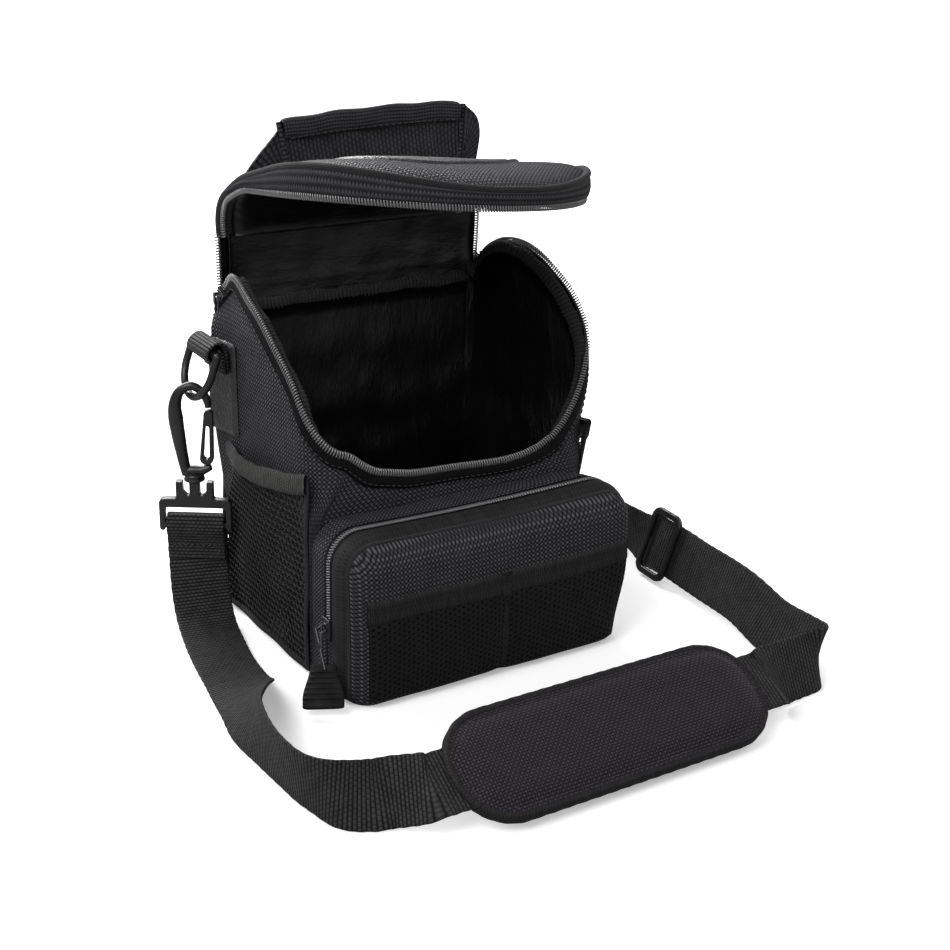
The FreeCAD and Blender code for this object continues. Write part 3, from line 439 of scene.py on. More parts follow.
# ---------------------------------------------------------------- materials
class Shader:
    """Builds a material's node graph; UV and object coordinates are worked in mm."""

    def __init__(self, name):
        self.material = bpy.data.materials.new(name)
        self.material.use_nodes = True
        self.tree = self.material.node_tree
        self.bsdf = next(n for n in self.tree.nodes if n.type == "BSDF_PRINCIPLED")

    def feed(self, socket, value):
        """Link an output to a socket, or set the socket to a plain value."""
        if isinstance(value, bpy.types.NodeSocket):
            self.tree.links.new(value, socket)
        else:
            socket.default_value = value

    def node(self, kind, inputs=None, **settings):
        node = self.tree.nodes.new(kind)
        for key, value in settings.items():
            setattr(node, key, value)
        for key, value in (inputs or {}).items():
            self.feed(node.inputs[key], value)
        return node

    def calc(self, operation, *values, clamp=False):
        return self.node("ShaderNodeMath", dict(enumerate(values)),
                         operation=operation, use_clamp=clamp).outputs[0]

    def mul(self, a, b, clamp=False):
        return self.calc("MULTIPLY", a, b, clamp=clamp)

    def mul_add(self, value, factor, offset):
        return self.calc("MULTIPLY_ADD", value, factor, offset)

    def add(self, a, b, clamp=False):
        return self.calc("ADD", a, b, clamp=clamp)

    def abs_sin(self, value):
        return self.calc("ABSOLUTE", self.calc("SINE", value))

    def abs_sin_power(self, value, power):
        return self.calc("POWER", self.abs_sin(value), power)

    def coords(self, source, scale=(1, 1, 1), turn=0.0):
        coord = self.node("ShaderNodeTexCoord")
        return self.node("ShaderNodeMapping", {"Vector": coord.outputs[source],
                                               "Rotation": (0, 0, turn),
                                               "Scale": scale}).outputs[0]

    def uv(self, scale, turn=0.0):
        """UV place scaled evenly, with its x and y."""
        place = self.coords("UV", (scale, scale, 1), turn)
        return (place, *self.split(place))

    def split(self, place):
        return self.node("ShaderNodeSeparateXYZ", {0: place}).outputs[:2]

    def noise(self, place, scale, detail=3.0, rough=.55):
        return self.node("ShaderNodeTexNoise", {"Vector": place, "Scale": scale,
                                                "Detail": detail,
                                                "Roughness": rough}).outputs["Fac"]

    def ramp(self, value, *stops):
        """Colour ramp through (position, colour) stops."""
        node = self.node("ShaderNodeValToRGB", {0: value})
        elements = node.color_ramp.elements
        while len(elements) < len(stops):
            elements.new(0.5)
        for element, (position, colour) in zip(elements, stops):
            element.position = position
            element.color = (*colour, 1)
        return node.outputs[0]

    def remap(self, value, low, high, from_low=0.0, from_high=1.0):
        return self.node("ShaderNodeMapRange", {0: value, 1: from_low, 2: from_high,
                                                3: low, 4: high}).outputs[0]

    def bump(self, height, depth, strength=1.0, under=None):
        inputs = {"Strength": strength, "Distance": depth * MM, "Height": height}
        if under is not None:
            inputs["Normal"] = under
        return self.node("ShaderNodeBump", inputs).outputs[0]

    def finish(self, colour, rough, normal=None, metal=0.0, sheen=0.0, spec=.10):
        inputs = {"Base Color": colour, "Roughness": rough, "Metallic": metal,
                  "Specular IOR Level": spec}
        if normal is not None:
            inputs["Normal"] = normal
        if sheen:
            inputs.update({"Sheen Weight": sheen, "Sheen Roughness": .4})
        for key, value in inputs.items():
            self.feed(self.bsdf.inputs[key], value)
        return self.material


# In the makers below: pitch and depth (bump) are in mm, dark and light are the colours of
# hollows and crests (in woven and webbing: painted shade in hollows, painted highlight on
# crests), rough is (hollows, crests) or (low, high).

def woven(name, pitch, dark, light, turn=0.0, rough=(.62, .42), depth=.30, sheen=0.0,
          mottle=.5, crown=.6):
    """Plain weave: over and under yarns alternate; a lower crown gives flatter yarns."""
    shader = Shader(name)
    place, x, y = shader.uv(pi / pitch, radians(turn))
    weave = shader.mul(shader.calc("SINE", x), shader.calc("SINE", y))
    height = shader.calc("POWER", shader.calc("ABSOLUTE", weave), crown)
    over = shader.calc("GREATER_THAN", weave, 0.0)
    # four fine strands in each yarn, along its own direction
    strands = shader.node("ShaderNodeMix", {0: over, 2: shader.abs_sin(shader.mul(x, 4.0)),
                                            3: shader.abs_sin(shader.mul(y, 4.0))},
                          data_type="FLOAT").outputs[0]
    height = shader.mul(height, shader.mul_add(strands, .25, .75))
    # under yarns sit lower
    height = shader.mul(height, shader.mul_add(over, .34, .66))
    patches = shader.noise(place, scale=.05)
    flecks = shader.noise(place, scale=.9, detail=2.0)
    shade = shader.mul(height, shader.mul_add(shader.add(patches, shader.mul(flecks, .5)),
                                              mottle, 1 - .72 * mottle))
    middle = tuple(a * .72 + b * .28 for a, b in zip(dark, light))
    # the ramp paints yarn crests light as painted highlight, and hollows and the lower under
    # yarns dark as painted shade; patches and flecks are random tone
    colour = shader.ramp(shade, (.12, dark), (.42, middle), (.85, light))
    return shader.finish(colour, shader.remap(shade, *rough), shader.bump(height, depth),
                         sheen=sheen)


def webbing(name, pitch, dark, light, warp_pitch, depth):
    """Ribs across a band (U runs along it), each rib broken by the warp yarns."""
    shader = Shader(name)
    place = shader.coords("UV", (pi / pitch, pi / warp_pitch, 1))
    x, y = shader.split(place)
    row = shader.calc("FLOOR", shader.calc("DIVIDE", x, pi))
    # alternate ribs are half a yarn out of step
    shift = shader.mul(shader.calc("MODULO", row, 2.0), pi / 2)
    ribs = shader.abs_sin_power(x, .55)
    yarns = shader.abs_sin_power(shader.add(y, shift), .4)
    height = shader.mul(ribs, shader.mul_add(yarns, .55, .45))
    patches = shader.noise(place, scale=.12)
    shade = shader.mul(height, shader.mul_add(patches, .9, .5))
    middle = tuple((a + b) / 2.8 for a, b in zip(dark, light))
    # the ramp paints rib crests light as painted highlight and the gaps between ribs and yarns
    # dark as painted shade; patches are random tone
    colour = shader.ramp(shade, (.1, dark), (.5, middle), (.95, light))
    rough = (.7, .5)
    return shader.finish(colour, shader.remap(shade, *rough), shader.bump(height, depth),
                         sheen=.02)


def knit(name, pitch, dark, light, sheen, depth=.22, rib=None):
    """Fine jersey of V loops; rib = (pitch, weight) adds ribs that run along V."""
    shader = Shader(name)
    place, x, y = shader.uv(2 * pi / pitch)
    chevron = shader.add(y, shader.mul(shader.abs_sin(shader.mul(x, .5)), 2.2))
    height = shader.mul_add(shader.calc("SINE", chevron), .35, .5)
    height = shader.mul(height, shader.abs_sin_power(shader.mul(x, .5), .35))
    if rib:
        ribs = shader.abs_sin_power(shader.mul(x, pitch / rib[0] * .5), .7)
        height = shader.add(shader.mul(height, 1 - rib[1]), shader.mul(ribs, rib[1]))
    patches = shader.noise(place, scale=.04)
    shade = shader.mul(height, shader.mul_add(patches, .8, .6))
    return shader.finish(shader.ramp(shade, (0, dark), (1, light)), .75,
                         shader.bump(height, depth), sheen=sheen)


def net(name, pitch, dark, light, depth):
    """Fine three-way net over a dark ground."""
    shader = Shader(name)
    place, x, y = shader.uv(2 * pi / pitch)
    half_x, tall_y = shader.mul(x, .5), shader.mul(y, .866)
    first = shader.calc("COSINE", x)
    second = shader.calc("COSINE", shader.add(half_x, tall_y))
    third = shader.calc("COSINE", shader.calc("SUBTRACT", half_x, tall_y))
    waves = shader.add(shader.add(first, second), third)    # 3 at the hole centres
    height = shader.remap(waves, 1.0, 0.0, from_low=.2, from_high=1.5)
    patches = shader.noise(place, scale=.08)
    shade = shader.mul(height, shader.mul_add(patches, .9, .5))
    return shader.finish(shader.ramp(shade, (0, dark), (1, light)),
                         shader.remap(shade, .8, .5), shader.bump(height, depth), sheen=.05)


def nylon(name, dark, light, rough, crease):
    """Thin coated lining: glossy, with soft creases and a very fine weave."""
    shader = Shader(name)
    place, x, y = shader.uv(1)
    stretched = shader.node("ShaderNodeMapping", {0: place, "Scale": (1.0, .35, 1)}).outputs[0]
    folds = shader.noise(stretched, scale=.035, detail=5.0, rough=.6)
    patches = shader.noise(place, scale=.012, detail=2.0)
    valley = shader.calc("ABSOLUTE", shader.mul_add(folds, 2.0, -1.0))
    weave = shader.mul(shader.calc("SINE", shader.mul(x, 11.0)),
                       shader.calc("SINE", shader.mul(y, 11.0)))
    ridge = shader.calc("SUBTRACT", 1.0, shader.calc("POWER", valley, .7))
    normal = shader.bump(ridge, crease, strength=.6)
    normal = shader.bump(weave, .03, strength=.5, under=normal)
    return shader.finish(shader.ramp(patches, (.3, dark), (.7, light)),
                         shader.remap(folds, rough - .08, rough + .12), normal, spec=.3)


def plastic(name, dark, light, rough, grain=.05, spec=.5, metal=0.0):
    """Moulded satin plastic or painted metal: fine grain, lighter on sharp edges as painted
    highlight.
    """
    shader = Shader(name)
    place = shader.coords("Object", (1000.0,) * 3)
    flow = shader.noise(place, scale=.09)
    fine = shader.noise(place, scale=2.2, detail=4.0, rough=.7)
    edges = shader.node("ShaderNodeNewGeometry").outputs["Pointiness"]
    # sharp convex edges made lighter: painted highlight
    edge_highlight = shader.mul(shader.calc("SUBTRACT", edges, .5), 6.0, clamp=True)
    shade = shader.add(flow, shader.mul(edge_highlight, .6), clamp=True)
    return shader.finish(shader.ramp(shade, (.3, dark), (.8, light)),
                         shader.remap(fine, *rough), shader.bump(fine, grain),
                         spec=spec, metal=metal)


def leather(name, dark, light, rough, cells, depth):
    """Grained synthetic leather; cells is how many grains to a mm."""
    shader = Shader(name)
    place = shader.coords("UV")
    grain = shader.node("ShaderNodeTexVoronoi", {"Vector": place, "Scale": cells},
                        feature="DISTANCE_TO_EDGE").outputs["Distance"]
    height = shader.calc("POWER", shader.mul(grain, 2.4, clamp=True), .6)
    patches = shader.noise(place, scale=.06)
    shade = shader.mul(height, shader.mul_add(patches, .9, .45))
    return shader.finish(shader.ramp(shade, (0, dark), (1, light)),
                         shader.remap(shade, *rough), shader.bump(height, depth), spec=.6)


def rubber(name):
    shader = Shader(name)
    place = shader.coords("Object", (1000.0,) * 3)
    fine = shader.noise(place, scale=1.1, detail=4.0)
    patches = shader.noise(place, scale=.1, detail=2.0)
    return shader.finish(shader.ramp(patches, (.3, (.006,) * 3), (.75, (.02,) * 3)),
                         shader.remap(fine, .55, .7), shader.bump(fine, depth=.08))


def foam(name):
    shader = Shader(name)
    cells = shader.noise(shader.coords("Object", (1000.0,) * 3), scale=1.6, detail=4.0,
                         rough=.7)
    return shader.finish(shader.ramp(cells, (.3, (.02,) * 3), (.7, (.05,) * 3)), .9,
                         shader.bump(cells, depth=.2))


# in the woven and webbing materials below, light is painted highlight on crests and dark is
# painted shade in hollows
BALLISTIC = woven("mat_ballistic", pitch=1.5, turn=45, dark=(.0003, .0003, .0004),
                  light=(.105, .105, .115), rough=(.6, .38), depth=.5)
FLAP_WEAVE = woven("mat_flap_weave", pitch=1.3, turn=45, dark=(.0008, .0008, .001),
                   light=(.03, .03, .034))
ZIP_TAPE = woven("mat_zip_tape", pitch=.55, dark=(.001, .001, .0012),
                 light=(.009, .009, .0105), depth=.12, rough=(.75, .6))
WEBBING = webbing("mat_webbing", pitch=1.8, dark=(.0003,) * 3, light=(.044,) * 3,
                  warp_pitch=2.3, depth=.55)
HANDLE_WEB = webbing("mat_handle_webbing", pitch=2.2, dark=(.0008, .0008, .001),
                     light=(.040, .040, .044), warp_pitch=2.8, depth=.45)
ELASTIC = webbing("mat_elastic", pitch=1.6, dark=(.003, .0032, .003),
                  light=(.075, .078, .074), warp_pitch=1.5, depth=.3)
GROSGRAIN = webbing("mat_grosgrain", pitch=.9, dark=(.004,) * 3, light=(.03, .03, .031),
                    warp_pitch=5.0, depth=.2)
KNIT = knit("mat_knit", pitch=1.7, dark=(.002, .002, .0024), light=(.062, .062, .068),
            depth=.3, sheen=.03)
BINDING = knit("mat_binding", pitch=.9, dark=(.003,) * 3, light=(.04, .04, .043),
               rib=(2.4, .5), sheen=.1)
PAD_BINDING = webbing("mat_pad_binding", pitch=.8, dark=(.004,) * 3, light=(.03, .029, .03),
                      warp_pitch=3.0, depth=.15)
PAD_FABRIC = woven("mat_pad_fabric", pitch=1.35, dark=(.005, .004, .0055),
                   light=(.056, .050, .061), rough=(.9, .75), depth=.25, sheen=.1,
                   mottle=.4, crown=.5)
NET = net("mat_net", pitch=2.5, dark=(.001,) * 3, light=(.012, .012, .0135), depth=.6)
SIDE_MESH = plastic("mat_side_mesh", dark=(.003,) * 3, light=(.017, .017, .018),
                    rough=(.5, .62), spec=.2)
LINING = nylon("mat_lining", dark=(.0015, .0015, .0018), light=(.005, .005, .0056),
               rough=.36, crease=1.6)
PIPING = knit("mat_piping", pitch=.8, dark=(.004,) * 3, light=(.04, .04, .043), sheen=.1)
INSERT = leather("mat_insert", dark=(.008, .008, .009), light=(.022, .022, .024),
                 rough=(.5, .34), cells=.55, depth=.22)
# black coil teeth given a grey colour: partly their own dark tone, partly painted highlight
TEETH = plastic("mat_teeth", dark=(.045, .045, .046), light=(.17, .17, .175),
                rough=(.14, .24), grain=.02, metal=.3, spec=.9)
HARDWARE = plastic("mat_hardware", dark=(.006, .006, .0065), light=(.018, .018, .019),
                   rough=(.26, .38), spec=.45)
METAL = plastic("mat_slider", dark=(.02, .02, .022), light=(.07, .07, .075),
                rough=(.18, .3), grain=.03, metal=.6)
GRIP = rubber("mat_grip")
THREAD = plastic("mat_thread", dark=(.012,) * 3, light=(.035, .035, .036), rough=(.5, .6))
foam("mat_foam")    # part of the palette, though no piece wears it
BOARD = rubber("mat_board")


# ---------------------------------------------------------------- body wall
BODY_W, BODY_D = 155.0, 104.0
HALF_D = BODY_D / 2
TAPER = 0.03                    # share of the width lost by z = 200
REAR_R = 8.0                    # corner radii: rear, and front at the foot and at the top
LOW_R, HIGH_R = 4.0, 18.0
REAR_BULGE = 7.5
# rim height along each side: (distance forward from the back, z)
LEFT_RIM = [(0, 165), (4, 168), (9, 175), (14, 179.5), (20, 180.5), (29, 178.5), (40, 174.5),
            (48, 171), (60, 163), (72, 153), (82, 143.5), (86, 139.5)]
RIGHT_RIM = [(0, 165), (4, 169), (10, 176), (20, 182), (30, 186), (36, 187), (50, 184),
             (63, 177.5), (74, 169), (81, 161), (86, 154)]
# along the front: (x, z)
FRONT_RIM = [(-57.5, 112), (-50, 106), (-44, 102.5), (-35, 99.5), (-27, 97.5), (-10, 95.6),
             (2, 95), (20, 94), (31, 94), (45, 96), (57.5, 100)]
# round the right front corner: (degrees from the side, z)
RIGHT_ARC = [(0, 154), (15, 145.5), (30, 135.5), (45, 123.5), (60, 112.5), (75, 105), (90, 100)]
# swell of the right side: (distance forward from the back, mm outward)
RIGHT_BULGE = [(0, 0), (8, 2.0), (18, 3.6), (30, 4.0), (36, 5.2), (50, 8), (63, 10.5),
               (81, 14.5), (86, 15), (92, 15), (98, 13), (110, 7), (122, 0)]


def half_width(z):
    return BODY_W / 2 * (1 - TAPER * z / 200.0)


def front_radius(z):
    return LOW_R + (HIGH_R - LOW_R) * ease(78, 104, z)


# nominal wall path at z = 120, from mid back round the left side to the front and on round:
# (kind, side, length)
MID_HALF = half_width(120)
SIDE_RUN = 2 * HALF_D - REAR_R - HIGH_R
SEGMENTS = [("back", -1, MID_HALF - REAR_R), ("rear_arc", -1, REAR_R * pi / 2),
            ("side", -1, SIDE_RUN), ("front_arc", -1, HIGH_R * pi / 2),
            ("front", 0, 2 * (MID_HALF - HIGH_R)), ("front_arc", 1, HIGH_R * pi / 2),
            ("side", 1, SIDE_RUN), ("rear_arc", 1, REAR_R * pi / 2),
            ("back", 1, MID_HALF - REAR_R)]
SEGMENT_AT = cumulative([length for _, _, length in SEGMENTS])
PERIMETER = SEGMENT_AT[-1]


def locate(at):
    """Segment kind, side and place in it: |x| on the back, y on a side, x on the front and
    degrees on a corner."""
    at = at % PERIMETER
    i = min(int(np.searchsorted(SEGMENT_AT, at, side="right")) - 1, len(SEGMENTS) - 1)
    kind, side, length = SEGMENTS[i]
    part = (at - SEGMENT_AT[i]) / length
    if kind == "front":
        return kind, side, -(MID_HALF - HIGH_R) + part * 2 * (MID_HALF - HIGH_R)
    if kind == "side":
        rear, front = HALF_D - REAR_R, -(HALF_D - HIGH_R)
        place = rear + (front - rear) * part if side < 0 else front + (rear - front) * part
        return kind, side, place
    full = MID_HALF - REAR_R if kind == "back" else 90
    if kind == "front_arc":
        # degrees are counted from the side on the left, and from the same side on the right
        return kind, side, part * 90 if side < 0 else (1 - part) * 90
    return kind, side, part * full if side < 0 else (1 - part) * full


def bulge(kind, side, place, z):
    """How far the filled bag swells past its nominal wall."""
    if kind == "front":
        return 0.6 * sin(place * .09 + z * .05)
    if kind == "back":
        return (1.2 * cos(place / 69.0 * pi / 2) * sin(pi * min(max(z / 170.0, 0), 1))
                + .4 * sin(place * .08 + 1 + z * .03))
    rear = REAR_BULGE * ease(40, 120, z) * (1 - ease(152, 178, z))
    if kind == "rear_arc":
        return rear
    forward = HALF_D - place if kind == "side" else 2 * HALF_D - HIGH_R + place / 90.0 * 28
    if side > 0:
        return (linear(RIGHT_BULGE, forward) * ease(55, 125, z)
                + 0.5 * sin(forward * .09 + z * .045))
    return (rear * exp(-max(forward - 8, 0) / 20.0)
            + 2.6 * exp(-((forward - 52) / 26.0) ** 2) * ease(70, 140, z)
            + 0.5 * sin(forward * .1 + z * .05 + 2) * min(forward / 20.0, 1))


def wall(at, z, inset=0.0, plain=False):
    """Point on the body wall; plain leaves out the swell."""
    kind, side, place = locate(at)
    half, radius = half_width(z), front_radius(z)
    swell = 0.0 if plain else bulge(kind, side, place, z) * ease(0, 12, z)
    if kind == "back":
        x = place * (half - REAR_R) / (MID_HALF - REAR_R)
        return vec(side * x, HALF_D - inset + swell, z)
    if kind == "rear_arc":
        angle = radians(place)
        reach = REAR_R - inset
        if side > 0:
            swell = 0.0
        return vec(side * (half - REAR_R + (reach + swell) * sin(angle)),
                   HALF_D - REAR_R + reach * cos(angle), z)
    if kind == "side":
        rear, front = HALF_D - REAR_R, -(HALF_D - HIGH_R)
        part = (rear - place) / (rear - front)
        y = rear + (-(HALF_D - radius) - rear) * part
        return vec(side * (half - inset + swell), y, z)
    if kind == "front_arc":
        angle = radians(place)
        reach = radius - inset
        x, y = half - radius, HALF_D - radius
        if reach < 0.3:
            x, y, reach = half - (inset + 0.3), HALF_D - (inset + 0.3), 0.3
        return vec(side * (x + reach * cos(angle) + swell * cos(angle * .85)),
                   -(y + reach * sin(angle)), z)
    x = place * (half - radius) / (MID_HALF - HIGH_R)
    return vec(x, -(HALF_D - inset) - swell, z)


def rim_height(at):
    kind, side, place = locate(at)
    table = LEFT_RIM if side < 0 else RIGHT_RIM
    if kind == "back":
        return 165.0
    if kind == "rear_arc":
        return smooth_curve(table, REAR_R * (1 - cos(radians(place))))
    if kind == "side":
        return smooth_curve(table, HALF_D - place)
    if kind == "front_arc":
        if side < 0:
            return 112 + 27.5 * (1 - sin(radians(place))) ** .9
        return smooth_curve(RIGHT_ARC, place)
    return smooth_curve(FRONT_RIM, place)


def smooth_ring(values, passes):
    for _ in range(passes):
        values = (np.roll(values, 1, 0) + 2 * values + np.roll(values, -1, 0)) / 4
    return values


RIM_COUNT = 420
RIM_AT = np.linspace(0, PERIMETER, RIM_COUNT, endpoint=False)
RIM_Z = smooth_ring(np.array([rim_height(at) for at in RIM_AT]), 3)
RIM_Z = RIM_Z + 0.5 * np.sin(RIM_AT * .21) * (RIM_Z > 97) * 0.6
rim_slope = (np.roll(RIM_Z, -1) - np.roll(RIM_Z, 1)) / (2 * PERIMETER / RIM_COUNT)
# unrolled (along, up) direction square to the rim, down into the wall
RIM_DOWN = unit_rows(np.stack([rim_slope, -np.ones(RIM_COUNT)], 1))


def rim_offset(below):
    """Unrolled (along, z) of the line lying below the rim by a distance square to it."""
    return RIM_AT + RIM_DOWN[:, 0] * below, RIM_Z + RIM_DOWN[:, 1] * below


def rim_line(below, inset):
    along, heights = rim_offset(below)
    return np.array([wall(at, z, inset) for at, z in zip(along, smooth_ring(heights, 2))])


# outer fabric, tucked in at both ends
FABRIC_TOP = 6.4
fabric_at, fabric_z = rim_offset(FABRIC_TOP)


def fabric_pt(i, part):
    at = RIM_AT[i] + (fabric_at[i] - RIM_AT[i]) * part ** 1.5
    top = fabric_z[i]
    z = 1.2 + (top - 1.2) * part
    tuck = 0.9 * exp(-(top - z) / 2.2) + 1.3 * exp(-(z - 1.2) / 1.6)
    puff = 0.8 * sin(pi * part) * (0.5 + 0.5 * sin(at * .05 + 1.0))
    return wall(at, z, tuck - puff * .6)


parts = np.concatenate([[0, .012, .03], np.linspace(.06, .94, 34), [.97, 1.0]])
grid = lattice(fabric_pt, range(RIM_COUNT), parts)
along = np.repeat(np.append(RIM_AT, PERIMETER)[:, None], len(parts), 1)
put(shell("body_fabric", grid, 1.3, BALLISTIC, wrap_u=True,
          uvs=np.stack([along, closed(grid)[:, :, 2]], 2)),
    "bag_body", "ballistic", "side_panels", "front_panel", "back_panel")

# smooth zip tape above it, gently rolled: (below the rim, inset)
RIM_TAPE = [(7.6, .9), (7.2, .15), (6.3, -.35), (5.0, -.55), (3.9, -.55), (2.8, -.35),
            (1.9, -.1), (1.4, .35)]
grid = np.stack([rim_line(below, inset) for below, inset in RIM_TAPE], 1)
put(shell("rim_tape", grid, 1.0, ZIP_TAPE, wrap_u=True), "bag_body", "zip", "rim_zip")
path = closed(rim_line(5.8, -.5))
put(stitches("rim_stitches", path, unit_rows(path - closed(rim_line(5.8, 4.0))), 2.2),
    "bag_body", "zip")

# zip teeth, left out at mid back where the flap is sewn on
TEETH_SKIP = 22                 # rim points without teeth either side of mid back
path = rim_line(.2, .7)
down = unit_rows(rim_line(3.0, .7) - path)
toothed = slice(TEETH_SKIP, RIM_COUNT - TEETH_SKIP)
put(coil("rim_teeth", path[toothed], down[toothed], half=1.75), "bag_body", "zip")

# padded, ribbed binding rolled over the inner edge
edge = rim_line(4.6, 4.3)
down = unit_rows(rim_line(9.0, 4.3) - rim_line(1.0, 4.3))
inward = unit_rows(rim_line(4.6, 7.0) - edge)
path, down, inward = (rows[:-1] for rows in respace(.62, *map(closed, (edge, down, inward))))
down, inward = unit_rows(down), unit_rows(inward)
dist = np.linspace(0, arc_length(closed(edge))[-1], len(path), endpoint=False)
RIB_PITCH = 2.3
tall = 4.0 * (1 + .07 * np.cos(2 * pi * dist / RIB_PITCH) + .05 * np.sin(dist * .31)
              + .04 * np.sin(dist * .83 + 1))
deep = 2.7 * (1 + .09 * np.cos(2 * pi * dist / RIB_PITCH))
drift = .5 * np.sin(dist * .17) + .35 * np.sin(dist * .41 + 2)
angles = circle(16)
grid = (path[:, None]
        + down[:, None] * (np.cos(angles)[None, :, None] * tall[:, None, None]
                           + drift[:, None, None])
        + inward[:, None] * (np.sin(angles)[None, :, None] * deep[:, None, None]))
put(surf("rim_binding_roll", grid, BINDING, wrap_u=True, wrap_v=True),
    "bag_body", "knit", "rim_binding")

# creased lining bucket
lining_at, lining_z = rim_offset(6.0)


def bucket_pt(i, part):
    at = RIM_AT[i] + (lining_at[i] - RIM_AT[i]) * part
    z = 5.4 + (lining_z[i] - 5.4) * part
    middle = sin(pi * min(part * 1.02, 1)) ** .5
    crease = .8 * ripple(at * 1.3, z * 1.6, 3) + .6 * ripple(at * 3.1, z * 2.2, 5)
    folds = 1.3 * sin(z * .19 + 2.2 * sin(at * .045)) * (.4 + .6 * sin(at * .07) ** 2)
    return wall(at, z, 6.9 + (crease + .5 * folds) * middle * .8)


parts = np.concatenate([np.linspace(0, .9, 30), [.95, 1.0]])
grid = lattice(bucket_pt, range(RIM_COUNT), parts)
put(shell("body_lining_skin", grid[::-1], .7, LINING, wrap_u=True),
    "bag_body", "lining", "wall_foam")


def disc(name, z, inset, mat, thick, count=120, rings=14):
    """Level panel that fills the wall path at an inset."""
    edge = np.array([wall(at, max(z, 3), inset, plain=True)
                     for at in np.linspace(0, PERIMETER, count, endpoint=False)])
    rows = []
    for k in range(rings):
        part = 1 - k / float(rings)
        row = edge * vec(part, part, 0) + vec(0, 0, z)
        row[:, 2] += .25 * ripple(row[:, 0] * 1.5, row[:, 1] * 1.5, 7) * (1 - part ** 4)
        rows.append(row)
    top = np.concatenate(rows + [vec(0, 0, z)[None]])
    faces = []
    for k in range(rings - 1):
        for i in range(count):
            i2 = (i + 1) % count
            faces.append((k * count + i, k * count + i2,
                          (k + 1) * count + i2, (k + 1) * count + i))
    under = len(top)
    last = (rings - 1) * count
    faces += [(last + i, last + (i + 1) % count, under - 1) for i in range(count)]
    faces += [tuple(under + k for k in face[::-1]) for face in faces]
    faces += [(i, under + i, under + (i + 1) % count, (i + 1) % count) for i in range(count)]
    points = np.concatenate([top, top - vec(0, 0, thick)])
    return make(name, points, faces, mat, point_uvs=points[:, :2])


put(disc("lining_floor", 6.1, 6.6, LINING, .8), "bag_body", "lining", "body_lining")

# base panel and its rolled edge: (inset, z)
BASE_EDGE = [(2.5, .02), (1.2, .12), (.45, .5), (.1, 1.1), (.1, 1.9), (.6, 2.6), (1.2, 3.0)]
grid = np.array([[wall(at, z, inset) for inset, z in BASE_EDGE]
                 for at in np.linspace(0, PERIMETER, 240, endpoint=False)])
put(shell("base_edge", grid, .8, BALLISTIC, wrap_u=True), "bag_body", "ballistic")
put(disc("base_skin", 1.0, 1.6, BALLISTIC, .95), "bag_body", "ballistic", "base_panel")

# upright stitched seams near the corners: (name, place on the left, top)
for side, label in SIDES:
    for corner, at, top in (("rear", SEGMENT_AT[1] + 2.0, 158),
                            ("front", SEGMENT_AT[4] - 22.0, 126)):
        at = at if side < 0 else PERIMETER - at
        heights = np.linspace(3, top, 60)
        path = np.array([wall(at, z, -.1) for z in heights])
        inner = np.array([wall(at, z, 3) for z in heights])
        put(stitches(f"seam_{corner}_{label}", path, unit_rows(path - inner), 2.4),
            "bag_body", "ballistic")


# ---------------------------------------------------------------- side mesh pockets
SIDE_TOP = [(-50, 104), (-40, 101.5), (-24, 98.5), (-6, 95.5), (10, 94), (30, 94.5),
            (49, 97)]   # (y, z)
NET_PITCH = 4.0
NET_FRONT, NET_REAR, NET_LOW = -47.5, 46.5, 3.0
NET_DROP = 8.2                  # the net ends this far below the pocket's top
# folded elastic band: (below the top, inset)
SIDE_BAND = [(-.2, .5), (.1, .1), (.8, -.15), (2.5, -.3), (5.0, -.35), (7.2, -.25), (7.9, .1),
             (8.1, .5)]


def side_top(y):
    return linear(SIDE_TOP, y)


def side_x(side, y, z):
    across = cos(pi / 2 * max(-1, min(1, (y + 1) / 49.0)))
    up = max(0.0, min(1.0, z / 90.0)) ** 1.3
    off = 0.9 + 6.0 * max(across, 0.0) ** 1.4 * up
    swell = 0.0
    if side > 0:
        swell = linear(RIGHT_BULGE, HALF_D - y) * ease(55, 125, z) * .9
    return side * (half_width(z) + off + swell + .35 * sin(y * .17 + z * .13))


def side_net(side, label):
    """Honeycomb of flat cells, turned to threads by a wireframe modifier."""
    bm = bmesh.new()
    made = {}

    def vertex(y, z):
        y = min(max(y, NET_FRONT), NET_REAR)
        z = min(max(z, NET_LOW), side_top(y) - NET_DROP)
        key = (round(y, 2), round(z, 2))
        if key not in made:
            made[key] = bm.verts.new(tuple(vec(side_x(side, y, z) - side * .35, y, z) * MM))
        return made[key]

    row_height = NET_PITCH * sqrt(3) / 2
    radius = NET_PITCH / sqrt(3)
    for j in range(int(100 / row_height) + 2):
        for i in range(int(95 / NET_PITCH) + 2):
            y = -48 + i * NET_PITCH + (j % 2) * NET_PITCH / 2
            z = NET_LOW + j * row_height
            if not (-47.9 < y < 46.9 and z < side_top(y) - 8.0):
                continue
            cell = []
            for k in range(6):
                angle = pi / 2 + k * pi / 3
                corner = vertex(y + radius * cos(angle), z + radius * sin(angle))
                if corner not in cell:
                    cell.append(corner)
            if len(cell) > 2:
                try:
                    bm.faces.new(cell)
                except ValueError:
                    pass    # two cells squeezed onto the border can share all corners
    name = "side_mesh_" + label
    mesh = bpy.data.meshes.new(name)
    bm.to_mesh(mesh)
    bm.free()
    mesh.materials.append(SIDE_MESH)
    ob = bpy.data.objects.new(name, mesh)
    bpy.context.scene.collection.objects.link(ob)
    wire = ob.modifiers.new("net", "WIREFRAME")
    wire.thickness = 1.1 * MM
    wire.use_even_offset = False
    wire.use_boundary = True
    put(ob, "bag_body", "mesh", *left_only(side, "side_mesh_pockets"))


